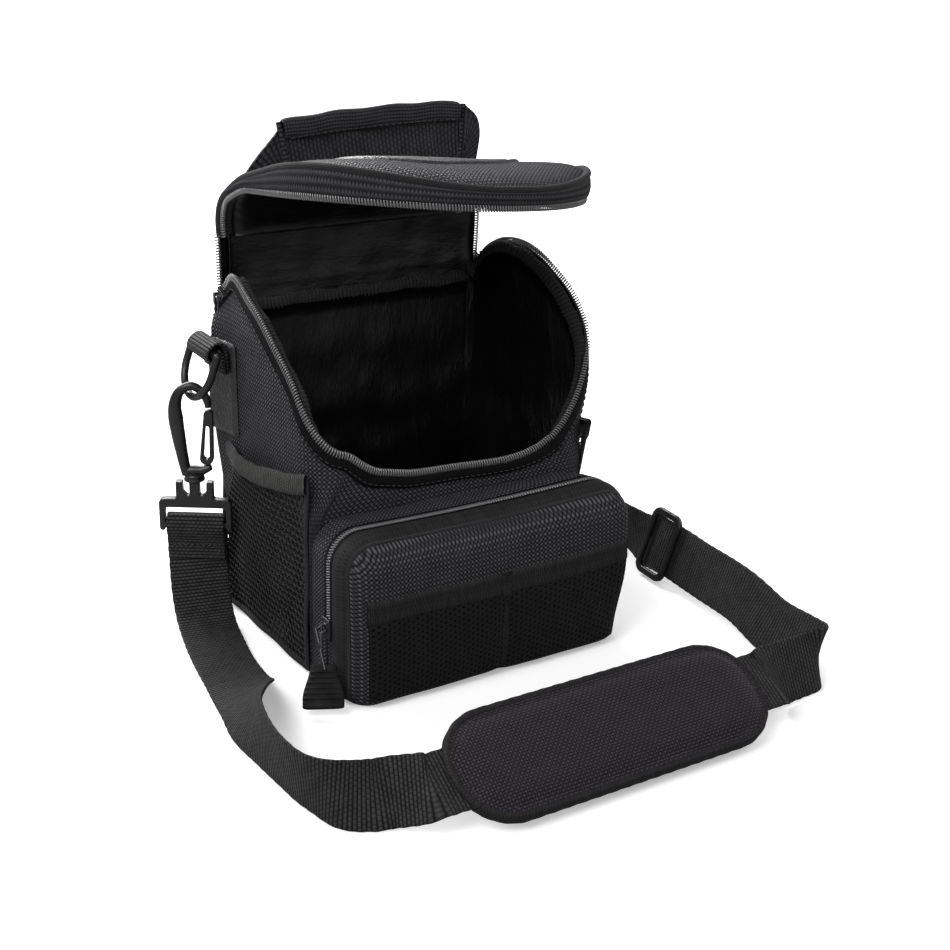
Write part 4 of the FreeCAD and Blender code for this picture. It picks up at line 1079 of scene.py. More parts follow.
def side_band(side, label):
    def band_pt(y, profile):
        below, inset = profile
        z = side_top(y) - below
        return vec(side_x(side, y, z) + side * (-inset + .5 + .18 * sin(y * .5 + below)), y,
                   z + .25 * sin(y * .23))

    ys = np.linspace(-48.5, 47.5, 110)
    put(shell("side_band_" + label, facing(side, lattice(band_pt, ys, SIDE_BAND)), 1.5,
              ELASTIC),
        "bag_body", "elastic", *left_only(side, "side_pocket_elastics"))
    for below in (1.3, 6.8):
        path = np.array([vec(side_x(side, y, side_top(y) - below) + side * 1.0, y,
                             side_top(y) - below) for y in ys])
        put(stitches(f"side_band_stitch_{label}_{int(below)}", path, (side, 0, 0),
                     radius=.2), "bag_body", "elastic")


def side_edges(side, label):
    """Rounded bindings at the front, rear and foot of the pocket."""
    for y, edge in ((-47.8, "front"), (46.9, "rear")):
        path = np.array([vec(side_x(side, y, z) + side * .2, y, z)
                         for z in np.linspace(2.2, side_top(y) - .5, 50)])
        put(tube(f"side_edge_{edge}_{label}", path, .8, GROSGRAIN, (side, 0, 0), deep=2.0),
            "bag_body", "mesh")
    path = np.array([vec(side_x(side, y, 3.2) + side * .2, y, 3.0)
                     for y in np.linspace(NET_FRONT, NET_REAR, 60)])
    put(tube("side_edge_bottom_" + label, path, .8, GROSGRAIN, (side, 0, 0), deep=1.6),
        "bag_body", "mesh")


for side, label in SIDES:
    side_net(side, label)
    side_band(side, label)
    side_edges(side, label)


# ---------------------------------------------------------------- front pocket
POCKET_HALF, POCKET_TOP, POCKET_R = 76.0, 81.0, 15.0
COVER_INSET = 2.6
COVER_HALF, COVER_TOP, COVER_R = (size - COVER_INSET
                                  for size in (POCKET_HALF, POCKET_TOP, POCKET_R))
ZIP_FOOT = 28.0


def swell_pocket(points):
    """The filled pocket swells to the front and to its right end."""
    points = points.copy()
    x, y, z = points.T.copy()
    points[:, 0] += (10.5 * ease(5, 76, x) * ease(50, 66, -y) * (.3 + .7 * ease(4, 50, z)))
    points[:, 1] -= 6.5 * ease(70, 88, -y) * (.55 + .45 * (1 - ease(20, 80, z)))
    return points


def pocket_outline(inset, foot):
    return arch(POCKET_HALF - inset, POCKET_TOP - inset, POCKET_R - inset, foot, 26, 12, 60)


def sag(x, z):
    """The soft pocket top dips a little between its corners."""
    return -1.4 * cos(min(abs(x) / 72.0, 1) * pi / 2) * ease(40, 81, z)


def pocket_strip(profile, foot):
    """Strip round the pocket through (y, inset) rows."""
    rows = [[vec(x, y + .3 * sin(x * .06 + z * .05), z + sag(x, z))
             for x, z in pocket_outline(inset, foot)] for y, inset in profile]
    return np.array(rows).transpose(1, 0, 2)


def pocket_line(y, inset, foot):
    return np.array([vec(x, y, z + sag(x, z)) for x, z in pocket_outline(inset, foot)])


def cover_y(x, z, off=0.0):
    """y of the pocket face, off in front of it: rounded edges and a soft crown."""
    ax = abs(x)
    flat_x, flat_z = COVER_HALF - COVER_R, COVER_TOP - COVER_R
    if ax > flat_x and z > flat_z:
        gap = COVER_R - hypot(ax - flat_x, z - flat_z)
    else:
        gap = min(COVER_HALF - ax, COVER_TOP - z)
    gap = max(gap, 0.0)
    full = sqrt(max(0.0, 1 - (1 - min(gap / 10.0, 1)) ** 2))
    foot = sqrt(max(0.0, 1 - (1 - min(max(z - .8, 0) / 7.0, 1)) ** 2))
    crown = (2.6 * cos(min(ax / 74.0, 1) * pi / 2) ** .8
             * sin(pi * min(max(z / 80.0, 0), 1)) ** .8)
    lump = .45 * ripple(x * 1.2, z * 1.4, 11)
    # the mesh pocket pulls the face in at its top and at the divider
    pinch = (.9 * exp(-((z - 50) / 5.0) ** 2)
             + 1.1 * exp(-((x - DIVIDER_X) / 4.0) ** 2) * (1 - ease(44, 58, z)))
    y = -80.0 - 7.6 * full - (crown + lump - pinch) * full
    return y + (1 - foot) * 5.0 - off


mesh_warp = swell_pocket

GUSSET = [(-50.6, .8), (-52.5, .2), (-55, -.1), (-58, -.15), (-61, 0), (-63.2, .35),
          (-64.2, 1.0)]
put(shell("pocket_gusset_skin", pocket_strip(GUSSET, 1.2), 1.3, BALLISTIC),
    "bag_body", "ballistic", "pocket_gusset")

# lower sides between the gusset and the cover, where the zip stops
for side, label in SIDES:
    grid = lattice(lambda y, z: vec(side * (POCKET_HALF - .3 - .2 * sin(z * .2)), y, z),
                   np.linspace(-63.0, -71.5, 6), np.linspace(1.6, 29.5, 12))
    put(shell("pocket_side_" + label, grid[::-side], 1.2, BALLISTIC), "bag_body", "ballistic")

TAPE_OUTER = [(-63.4, .6), (-63.6, -.1), (-64.6, -.25), (-66.2, -.25), (-66.9, -.1)]
TAPE_INNER = [(-69.1, -.1), (-69.8, -.25), (-71.4, -.25), (-72.2, .0)]
# (name, body, tape rows, teeth y, teeth phase); the two coils mesh half a turn apart
POCKET_ZIP = [("outer", "bag_body", TAPE_OUTER, -67.25, 0.0),
              ("inner", "front_pocket_cover", TAPE_INNER, -68.75, pi)]
for label, body, profile, _, _ in POCKET_ZIP:
    put(shell("pocket_tape_" + label, pocket_strip(profile, ZIP_FOOT), .8, ZIP_TAPE),
        body, "zip", "pocket_zip_" + label)
for label, body, _, y, phase in POCKET_ZIP:
    put(coil("pocket_teeth_" + label, pocket_line(y, -.25, ZIP_FOOT + .5), (0, 1, 0),
             half=1.35, high=.8, pitch=1.35, radius=.38, phase=phase), body, "zip")

# ribbed facing band and piping between the zip and the cover
FACING = [(-71.9, .7), (-72.4, .0), (-73.4, -.35), (-75.6, -.3), (-77.8, .3), (-79.6, 1.3),
          (-80.2, 2.1)]
bend(shell("pocket_facing", pocket_strip(FACING, 2.0), 1.2, GROSGRAIN), POCKET_FOLD,
     "ballistic")
bend(tube("pocket_piping", pocket_line(-80.6, 2.0, 2.0), 1.5, PIPING, (0, -1, 0), sides=12),
     POCKET_FOLD, "ballistic")

DIVIDER_X = 5


def cover_pt(x, part):
    over = abs(x) - (COVER_HALF - COVER_R)
    top = COVER_TOP
    if over > 0:
        top = COVER_TOP - COVER_R + sqrt(max(0, COVER_R * COVER_R - over ** 2))
    z = 1.2 + (top - 1.2) * part
    return vec(x, cover_y(x, z), z + sag(x, z))


steps = np.array([0, .12, .5, 1.2, 2.2, 3.4, 4.9, 6.8, 9, 11.5])    # mm in from the edge
xs = np.concatenate([-COVER_HALF + steps, np.linspace(-COVER_HALF + 14, COVER_HALF - 14, 52),
                     (COVER_HALF - steps)[::-1]])
grid = lattice(cover_pt, xs, np.concatenate([np.linspace(0, .84, 34), 1 - steps[::-1] / 78.0]))
uvs = np.stack([np.repeat(xs[:, None], grid.shape[1], 1), grid[:, :, 2] - grid[:, :, 1] * .3],
               2)
bend(shell("pocket_cover_skin", grid[::-1], 1.5, BALLISTIC, uvs=uvs[::-1]), POCKET_FOLD,
     "ballistic", "pocket_cover", "pocket_cover_lower", "pocket_lining")


def face_pt(x, z, off):
    return vec(x, cover_y(x, z, off), z + sag(x, z) * .6)


# net pocket over the lower face
xs, zs = np.linspace(-69.5, 69.5, 90), np.linspace(4.5, 46, 24)
grid = lattice(lambda x, z: face_pt(x, z, 1.7 + .22 * sin(x * .31 + z * .15) * .6), xs, zs)
bend(shell("pocket_net", grid[::-1], .8, NET, uvs=flat_uvs(xs, zs)[::-1]), POCKET_FOLD,
     "mesh", "pocket_mesh_upper", "pocket_mesh_lower")

# woven band along the net's top: (z, off the face)
NET_BAND = np.array([(45.0, .9), (45.15, 1.5), (45.8, 1.85), (47.5, 1.95), (50, 1.9),
                     (52.5, 1.95), (54.2, 1.85), (54.85, 1.5), (55.0, .9)])
xs = np.linspace(-69.8, 69.8, 120)
grid = lattice(lambda x, row: face_pt(x, row[0], row[1] + .12 * sin(x * .9))
               + vec(0, 0, .2 * sin(x * .11)), xs, NET_BAND)
bend(shell("pocket_band", grid[::-1], 1.2, GROSGRAIN, uvs=flat_uvs(xs, NET_BAND[:, 0])[::-1]),
     POCKET_FOLD, "elastic", "pocket_elastic")
for z in (46.2, 53.8):
    path = np.array([face_pt(x, z, 1.95) for x in xs])
    bend(stitches(f"pocket_band_stitch_{int(z)}", path, (0, -1, 0), radius=.2), POCKET_FOLD,
         "elastic")


# upright divider strip, stepping out over the band
def divider_pt(z, across, off):
    step = .9 if z > 44 else 0
    return vec(DIVIDER_X + across, cover_y(DIVIDER_X + across, z, off + step),
               z + sag(DIVIDER_X, z) * .6)


DIVIDER = [(-2.4, -.6), (-2.1, .1), (0, .35), (2.1, .1), (2.4, -.6)]    # (across, off)
zs = np.linspace(5, 56, 44)
grid = lattice(lambda z, row: divider_pt(z, row[0], 1.5 + row[1]), zs, DIVIDER)
bend(shell("pocket_divider", grid, .8, GROSGRAIN), POCKET_FOLD, "elastic")
for across in (-1.5, 1.5):
    path = np.array([divider_pt(z, across, 1.9) for z in zs])
    bend(stitches(f"pocket_divider_stitch_{int(across + 2)}", path, (0, -1, 0), 1.8,
                  radius=.2), POCKET_FOLD, "elastic")

mesh_warp = None


# ---------------------------------------------------------------- lid
# The lid has its own frame: x across, fwd towards the front, up from its zip.
LID_HALF, LID_LEN, LID_R = 76.5, 147.0, 71.5
HOOD_R = 16.0                   # the hood turns down into the flap round this radius
HOOD_START = HOOD_R * (1 - pi / 2)
LID_ORIGIN = vec(0, 50.2, 213.0)
TOP_INSET, LINING_INSET = 1.6, 5.4
# (fwd, height of the top)
LID_TOP = [(-9.2, 2.8), (0, 3.6), (12, 4.8), (30, 7.2), (50, 10.8), (68, 14.0), (90, 15.8),
           (115, 15.4), (134, 13.0), (147, 10.6)]


def turn(a, b, angle):
    return a * cos(angle) - b * sin(angle), a * sin(angle) + b * cos(angle)


def lid_pt(x, fwd, up):
    """Lid frame to the bag's; the hood twists as it goes forward."""
    twist = ease(-6, 40, fwd)
    px, py, pz = x, -fwd, up
    if fwd < HOOD_R:
        angle = (HOOD_R - fwd) / HOOD_R
        px = x * (1 - .04 * angle / 1.57)
        py = -(HOOD_R - (HOOD_R + up) * sin(angle))
        pz = -HOOD_R + (HOOD_R + up) * cos(angle)
    if up > 0:
        # the rear right is squashed
        pz -= (6.0 * ease(-40, 50, x) * (1 - ease(50, 112, fwd)) * ease(-4, 14, fwd)
               * min(up / 8.0, 1))
    py, pz = turn(py, pz, -radians(5.0 + 1.0 * twist))
    pz, px = turn(pz, px, radians(5.0 * twist))
    px, py = turn(px, py, radians(2.1 * twist))
    reach = max(fwd, 0) / 136.0
    lift = 5.1 * twist + 2.8 * reach * reach - 3.4 * (1 - (x / LID_HALF) ** 2) * reach
    return LID_ORIGIN + vec(px, py, pz) + vec(-4.0 * twist, -.5 * twist, lift)


def lid_half(fwd, inset):
    length, radius, half = LID_LEN - inset, LID_R - inset, LID_HALF - inset
    if fwd <= length - radius:
        return half
    return half - radius + sqrt(max(0.0, radius * radius - (fwd - (length - radius)) ** 2))


def lid_gap(x, fwd, inset):
    """Distance in from the lid's outline at an inset."""
    gap = min(max(lid_half(fwd, inset) - abs(x), 0.0), max(LID_LEN - inset - fwd, 0.0))
    if fwd > LID_LEN - LID_R:
        reach = hypot(max(abs(x) - (LID_HALF - LID_R), 0), fwd - (LID_LEN - LID_R))
        gap = min(gap, max(LID_R - inset - reach, 0))
    return gap


def lid_line(inset, height):
    """Line along the lid's edge; height is a function of fwd."""
    outline = arch(LID_HALF - inset, LID_LEN - inset, LID_R - inset, HOOD_START, 40, 36, 14)
    return np.array([lid_pt(x, fwd, height(x, fwd)) for x, fwd in outline])


def lid_strip(profile, height=lambda fwd, level: level):
    """Strip round the lid through (inset, level) rows."""
    rows = [lid_line(inset, lambda x, fwd: height(fwd, level) + .25 * sin(x * .05 + fwd * .06))
            for inset, level in profile]
    return np.array(rows).transpose(1, 0, 2)[:, ::-1]


def top_height(fwd):
    return smooth_curve(LID_TOP, fwd)


def top_drop(fwd):
    """How far the crown falls to the piping."""
    return min(3.4, top_height(fwd) - 1.6)


def top_surface(x, fwd):
    """Height of the padded top: crowned, falling to the piping all round."""
    full = 1 - exp(-lid_gap(x, fwd, TOP_INSET) / 5.0)
    dome = ((.9 + 1.5 * ease(30, 90, fwd)) * cos(min(abs(x) / 78.0, 1) * pi / 2) ** .8
            * sin(pi * min(max((fwd + 12) / 165.0, 0), 1)) ** .8)
    drop = top_drop(fwd)
    return (top_height(fwd) - drop + drop * full + dome
            + .5 * ripple(x * 1.1, fwd * 1.2, 21) * full * ease(-6, 10, fwd))


def on_top(x, fwd, up=.9):
    return lid_pt(x, fwd, top_surface(x, fwd) + up)


steps = np.array([0, .25, .9, 1.9, 3.2, 5.0, 7.5, 10.5])    # mm in from the edge
runs = np.concatenate([np.linspace(HOOD_START, LID_LEN - 12.5, 92),
                       LID_LEN - TOP_INSET - steps[::-1][1:]])
parts = np.concatenate([-1 + steps / 75.0, np.linspace(-.84, .84, 44),
                        (1 - steps / 75.0)[::-1]])
grid = lattice(lambda fwd, part: on_top(part * lid_half(fwd, TOP_INSET), fwd, 0), runs, parts)
uvs = lattice(lambda fwd, part: (part * lid_half(fwd, TOP_INSET), fwd), runs, parts)
bend(shell("lid_top_skin", grid, 1.3, BALLISTIC, uvs=uvs), LID_FOLD, "ballistic",
     "lid_top_rear", "lid_top_front")

# raised smooth inset with a groove inside its edge
INSET_HALF, INSET_REAR, INSET_FRONT = 47.0, 31.0, 112.0
INSET_REAR_R, INSET_FRONT_R = 12.0, 40.0
FRONT_BEND = INSET_FRONT - INSET_FRONT_R


def inset_half(fwd):
    for radius, past in ((INSET_REAR_R, INSET_REAR + INSET_REAR_R - fwd),
                         (INSET_FRONT_R, fwd - FRONT_BEND)):
        if past > 0:
            return INSET_HALF - radius + sqrt(max(0, radius ** 2 - past ** 2))
    return INSET_HALF


def inset_pt(fwd, part):
    half = inset_half(fwd)
    x = part * half
    gap = min((1 - abs(part)) * half, fwd - INSET_REAR, INSET_FRONT - fwd)
    lift = 1.5 * (1 - exp(-max(gap, 0) / .8)) - .35
    groove = .7 * exp(-((gap - 6) / 1.0) ** 2)
    return on_top(x, fwd, lift - groove + .2)


runs = np.concatenate([
    INSET_REAR + np.array([.02, .3, 1.0, 2.2, 4, 6.5, 9.5, 13]),
    np.linspace(46, FRONT_BEND, 14),
    FRONT_BEND + np.array([4, 10, 16, 22, 27, 31, 34.5, 37, 38.7, 39.6, 39.98])])
parts = np.concatenate([[-1, -.985, -.95], np.linspace(-.9, .9, 30), [.95, .985, 1]])
uvs = lattice(lambda fwd, part: (part * inset_half(fwd), fwd), runs, parts)
bend(shell("lid_inset", lattice(inset_pt, runs, parts), 1.4, INSERT, uvs=uvs), LID_FOLD,
     "insert", "lid_insert_rear", "lid_insert_front")

# piping round the top
path = lid_line(-.2, lambda x, fwd: top_height(fwd) - top_drop(fwd) + .2)
above = lid_line(-.2, lambda x, fwd: top_height(fwd) + 2)
bend(tube("lid_piping_roll", path, 1.9, PIPING, unit_rows(above - path), sides=12,
          rib=(1.6, .03)), LID_FOLD, "knit", "lid_piping_rear", "lid_piping_front")

# side band, slightly bowed: (inset, share of its height)
SIDE_PROFILE = [(.6, 0), (-.1, .05), (-.5, .22), (-.75, .45), (-.5, .75), (.1, .93), (.9, 1)]
grid = lid_strip(SIDE_PROFILE,
                 lambda fwd, part: 2.0 + (max(top_height(fwd) - 4.0, 2.5) - 2.0) * part)
bend(shell("lid_side_band", grid, 1.6, KNIT), LID_FOLD, "knit", "lid_band_rear",
     "lid_band_front")

# zip tape under the band, its teeth, and the ribbed binding inside them
grid = lid_strip([(.3, 2.9), (.0, 2.4), (-.05, 1.2), (.1, .7), (.7, .55)])
bend(shell("lid_tape", grid, .8, ZIP_TAPE), LID_FOLD, "zip", "lid_zip_rear", "lid_zip_front")
path = lid_line(.5, lambda x, fwd: -.2)
above = lid_line(.5, lambda x, fwd: 3)
bend(coil("lid_teeth", path, unit_rows(above - path)), LID_FOLD, "zip")
(path,) = respace(.62, lid_line(4.2, lambda x, fwd: 1.7))
bend(tube("lid_binding_roll", path, 2.4, BINDING, (0, 0, 1), sides=12, deep=2.0,
          rib=(2.3, .08)), LID_FOLD, "knit")


def lid_lining_pt(fwd, part):
    """Creased lining under the top, turned down to the zip."""
    x = part * lid_half(fwd, LINING_INSET)
    gap = lid_gap(x, fwd, LINING_INSET)
    high = max(top_height(fwd) - 7.6, -4.2)
    full = sqrt(max(0.0, 1 - (1 - min(gap / 9.0, 1)) ** 2))
    crease = (-1.1 * ripple(x * 1.2, fwd * 1.3, 31) - .9 * ripple(x * 2.6, fwd * 2.9, 33)
              - 1.2) * min(gap / 8.0, 1) * ease(-8, 8, fwd)
    return lid_pt(x, fwd, 2.0 + (high - 2.0) * full + crease)


runs = np.concatenate([HOOD_START + np.array([0, 3, 6, 9]), np.linspace(3, LID_LEN - 14, 76),
                       LID_LEN - LINING_INSET - np.array([7, 5, 3.4, 2.1, 1.1, .4, .02])])
parts = np.concatenate([[-1, -.995, -.98, -.955, -.92], np.linspace(-.88, .88, 44),
                        [.92, .955, .98, .995, 1]])
bend(shell("lid_lining_skin", lattice(lid_lining_pt, runs, parts)[:, ::-1], .7, LINING),
     LID_FOLD, "lining", "lid_lining_rear", "lid_lining_front", "lid_foam_rear",
     "lid_foam_front")


# ---------------------------------------------------------------- rear flap
FLAP_FOOT = 165


def flap_half(z):
    return 73.6 + .5 * sin((z - FLAP_FOOT) / 50.0 * pi)


def flap_y(x, z, inset=0.0):
    """Outer surface, bowed a little to the rear."""
    part = min(max((z - FLAP_FOOT) / 50.0, 0), 1)
    bow = 1.6 * sin(pi * part) * cos(min(abs(x) / 80, 1) * pi / 2)
    edge = 6.0 * (1 - sqrt(max(0, 1 - max(0, abs(x) - 66.0) ** 2 / 120.0)))
    crease = .5 * exp(-((z - 171) / 2.2) ** 2)
    return 52.4 + bow - edge - inset + .4 * ripple(x * 1.3, z * 1.2, 41) - crease


def flap_lining_pt(z, part):
    crease = .9 * ripple(part * 90, z * 1.5, 43) + .5 * ripple(part * 200, z * 2.9, 44)
    return vec(part * (flap_half(z) - 2.6),
               flap_y(part * flap_half(z), z, 4.4 + crease) + .9, z)


zs, parts = np.linspace(164.2, 198.0, 26), np.linspace(-1, 1, 60)
grid = lattice(lambda z, part: vec(part * flap_half(z), flap_y(part * flap_half(z), z), z),
               zs, parts)
uvs = lattice(lambda z, part: (part * flap_half(z), z), zs, parts)
bend(shell("flap_skin", grid[:, ::-1], 1.3, FLAP_WEAVE, uvs=uvs[:, ::-1]), FLAP_FOLD,
     "ballistic", "flap_panel")
bend(shell("flap_lining", lattice(flap_lining_pt, np.linspace(160.5, 198.5, 28), parts), .7,
           LINING), FLAP_FOLD, "lining")

# zip at either side: tape rows are (outward, inset)
FLAP_TAPE = [(-2.4, -.35), (-1.0, -.2), (.2, .3), (.8, 1.0), (.7, 1.7)]
zs = np.linspace(166.5, 197.6, 46)
for side, label in SIDES:
    def flap_edge_pt(z, row):
        return vec(side * (flap_half(z) + row[0]), flap_y(side * flap_half(z), z) - row[1], z)

    path = np.array([flap_edge_pt(z, (1.6, 1.0)) for z in zs])
    bend(coil("flap_teeth_" + label, path, (side * .8, -.6, 0)), FLAP_FOLD, "zip")
    bend(shell("flap_tape_" + label, facing(side, lattice(flap_edge_pt, zs, FLAP_TAPE)), .8,
               ZIP_TAPE), FLAP_FOLD, "zip")
    xs = [side * (flap_half(z) - 3.4) for z in zs]
    path = np.array([vec(x, flap_y(x, z, -.05), z) for x, z in zip(xs, zs)])
    bend(stitches("flap_stitch_" + label, path, (0, 1, 0), 2.2, radius=.22), FLAP_FOLD,
         "ballistic")

# seam roll where the flap is sewn to the back of the body
path = np.array([vec(x, flap_y(x, FLAP_FOOT) - .2, 164.6 + .2 * sin(x * .1))
                 for x in np.linspace(-72.5, 72.5, 160)])
put(tube("flap_seam", path, 1.1, PIPING, (0, 1, 0)), "bag_body", "knit")


# ---------------------------------------------------------------- handle
# grip bar: (centre, width direction)
BAR = [((-38.0, 49.4, 236.2), (-.06, .2, .98)), ((-20, 49.9, 237.6), (-.02, .2, .98)),
       ((0, 50.2, 238.8), (.02, .2, .98)), ((25, 50.2, 239.6), (.04, .2, .98)),
       ((45, 50.0, 240.0), (.08, .2, .98)), ((64.5, 49.6, 239.6), (.16, .18, .97))]
bar_path, bar_width = stations(BAR, 12)
put(ribbon("handle_band", BAR, 12, 28.0, 2.0, HANDLE_WEB, cup=.5, step=1.2, wave=.3),
    "handle", "webbing", "handle_webbing")


def handle_leg(label, first, second, bow):
    """Webbing between two edge curves, bowed in the middle."""
    count, across = 26, 18
    (first,), (second,) = divide(count, first), divide(count, second)
    grid = np.array([[a + (b - a) * part for part in np.linspace(0, 1, across)]
                     for a, b in zip(first, second)])
    swell = (np.sin(np.linspace(0, pi, across))[None, :, None]
             * np.sin(np.linspace(0, pi, count))[:, None, None])
    grid = grid + normals(grid) * swell * bow
    bend(shell("handle_leg_" + label, grid, 1.9, HANDLE_WEB), HANDLE_FOLD, "webbing")


def handle_fold(label, low, high, back, radius, deep):
    """Rolled crease between the grip and a leg."""
    path = np.array([low + (high - low) * part + vec(0, back, 0)
                     for part in np.linspace(-.02, 1.02, 30)])
    put(tube("handle_fold_" + label, path, radius, HANDLE_WEB, (1, 0, 0), sides=12,
             deep=deep), "handle", "webbing")


# left end: the webbing comes up from its foot and folds over into the grip
top = bar_path[0] + bar_width[0] * 14.2 + vec(-1.2, -1.0, .3)
low = bar_path[0] - bar_width[0] * 13.8 + vec(-.6, -1.6, 0)
foot_out, foot_in = on_top(-65.5, 10.2), on_top(-38.5, 10.2)
outer = catmull([foot_out, foot_out + vec(2.6, 2.2, 6.5), (foot_out + top) / 2
                 + vec(-1.2, 1.0, 0), top - vec(2.2, .2, 5.0), top], 10)
inner = catmull([foot_in, foot_in + vec(.3, .6, .9), (foot_in + low) / 2 + vec(.2, 0, .3),
                 low - vec(.1, 0, .2), low], 10)
handle_leg("left", outer[::-1], inner[::-1], -.8)
handle_fold("left", low, top, .9, 1.5, 1.9)

# right end: turned edge-on at the top and down to its foot
top = bar_path[-1] + bar_width[-1] * 13.9 + vec(.6, -.6, 0)
low = bar_path[-1] - bar_width[-1] * 13.9 + vec(.3, -.8, 0)
foot_in, foot_out = on_top(43.5, 10.2), on_top(70.0, 10.2)
outer = catmull([top, top + vec(6.6, -1.5, -6.0), top + vec(7.6, -3.6, -14.0),
                 (foot_out + top) / 2 + vec(4.2, -.6, -7.5), foot_out + vec(1.0, 1.6, 3.4),
                 foot_out], 10)
inner = catmull([low, low + vec(.4, -.3, -.8), (low + foot_in) / 2 + vec(1.0, .2, .2),
                 foot_in + vec(.8, .9, .8), foot_in], 10)
handle_leg("right", outer, inner, .8)
handle_fold("right", low, top, .5, 1.4, 1.7)

# knitted, padded sleeve folded over the upper edge
parts = np.linspace(0, 1, 150)
path, width, through = (
    interp_rows(.2 + parts * (len(bar_path) - 1.6), np.arange(len(bar_path)), rows)
    for rows in (bar_path, *path_frames(bar_path, bar_width)[1:]))
width, through = unit_rows(width), unit_rows(through)


def sleeve_pt(i, corner):
    part = parts[i]
    a, b = corner
    size = 1 - .2 * exp(-min(part, 1 - part) * 100 / 1.2)
    half = 5.6 + .5 * sin(part * 2.6) - .5 * part
    across = 10.6 + a * half * size + .35 * sin(part * 23 + b)
    out = b * (3.2 + .9 * (a * .5 + .5)) * size + .25 * sin(part * 31 + a * 2)
    return path[i] + width[i] * across + through[i] * out


grid = lattice(sleeve_pt, range(len(parts)), squircle(36, .7, .8))
put(surf("handle_sleeve_knit", grid, KNIT, wrap_v=True, caps=True),
    "handle", "knit", "handle_sleeve")
sewn = slice(4, 146)
for face, label in ((1, "front"), (-1, "back")):
    seam = path[sewn] + width[sewn] * 6.3 + through[sewn] * face * 3.05
    put(stitches("handle_stitch_" + label, seam, through[sewn] * face, 2.4, radius=.25),
        "handle", "knit")

# feet sewn to the lid with boxed stitching
runs = np.concatenate([[9.6, 9.8, 10.4], np.linspace(11.4, 25.4, 14), [26.4, 26.9, 27.0]])
spread = np.concatenate([[-14, -13.9, -13.4], np.linspace(-12.4, 12.4, 14), [13.4, 13.9, 14]])
for centre, label in ((-52.0, "left"), (57.0, "right")):
    def foot_pt(fwd, across):
        gap = min(14 - abs(across), fwd - 9.6, 27.0 - fwd)
        lift = .2 + 1.5 * (1 - exp(-max(gap, 0) / .35)) + .15 * sin(fwd * .9 + across * .6)
        return on_top(centre + across, fwd, lift)

    put(shell("handle_foot_" + label, lattice(foot_pt, runs, spread), 1.3, HANDLE_WEB,
              uvs=flat_uvs(runs, spread)),
        "lid_rear", "webbing", *left_only(centre, "handle_feet"))
    seam = np.array([on_top(centre + across, fwd, 1.75)
                     for across, fwd in box_outline(-12, 12, 11.5, 25.2, 16)])
    put(stitches("handle_foot_stitch_" + label, seam, (0, 0, 1)), "lid_rear", "webbing")


# ---------------------------------------------------------------- ring tabs and patches
PATCH_FRONT, PATCH_REAR, PATCH_LOW, PATCH_TOP = 23.6, 44.2, 101.6, 148.4
patch_ys = np.concatenate([[23.6, 23.8, 24.4], np.linspace(25.4, 42.4, 14),
                           [43.4, 44.0, 44.2]])
patch_zs = np.concatenate([[101.6, 101.8, 102.4], np.linspace(103.5, 146.5, 26),
                           [147.6, 148.2, 148.4]])


def side_at(side, y):
    """Place on the wall path of a y on the left or right side."""
    at = SEGMENT_AT[2] + (HALF_D - REAR_R - y)
    return at if side < 0 else PERIMETER - at


def tab_patch(side, label):
    def patch_pt(y, z):
        gap = min(y - PATCH_FRONT, PATCH_REAR - y, z - PATCH_LOW, PATCH_TOP - z)
        return wall(side_at(side, y), z, -.25 - (1 - exp(-max(gap, 0) / .4)))

    put(shell("tab_patch_" + label, facing(-side, lattice(patch_pt, patch_ys, patch_zs)), 1.1,
              INSERT), "bag_body", "insert", *left_only(side, "tab_patches"))
    for y in (25.6, 42.2):
        path = np.array([wall(side_at(side, y), z, -1.3) for z in np.linspace(104, 146.5, 30)])
        put(stitches(f"tab_patch_stitch_{label}_{int(y)}", path, (side, 0, 0), gap=1.1),
            "bag_body", "insert")


def tab_loop(side, label):
    """Webbing up the side, over the D-ring and back down."""
    out = 4.6 if side < 0 else 3.8
    # (|x|, z)
    run = [(78.5 + out, 134), (78.6 + out, 142), (79.6 + out, 147.0), (86.4, 149.9),
           (89.4, 149.6), (92.2, 147.9), (93.8, 144.5), (92.4, 141.6), (90.4, 141.0),
           (88.4, 142.8), (87.2, 146.0), (81.6 + out, 145.0), (80.2 + out, 141),
           (80.1 + out, 134)]
    keys = [((side * x, 38, z), (0, 1, 0)) for x, z in run]
    put(ribbon("tab_loop_" + label, keys, 6, 25.0, 1.4, WEBBING, wave=.08, step=.9),
        "bag_body", "webbing", *left_only(side, "tab_loops"))
    path = np.array([vec(side * (81.05 + out), y, z)
                     for y, z in box_outline(27.5, 48.5, 136, 141.5, 14)])
    put(stitches("tab_stitch_" + label, path, (side, 0, 0)), "bag_body", "webbing")


for side, label in SIDES:
    tab_patch(side, label)
    tab_loop(side, label)


# ---------------------------------------------------------------- shoulder strap
HOOK_X, HOOK_Y = 98.0, 38.0
PAD_CENTRE = vec(0, -190.5, 18.8)
PAD_LONG, PAD_WIDE = vec(1, 0, 0), unit(vec(0, .857, .515))
PAD_OUT = np.cross(PAD_LONG, PAD_WIDE)
TURN_LEFT = (cos(radians(33)), -sin(radians(33)), 0)
TURN_RIGHT = (cos(radians(60)), sin(radians(60)), 0)
FLAT = tuple(PAD_WIDE)
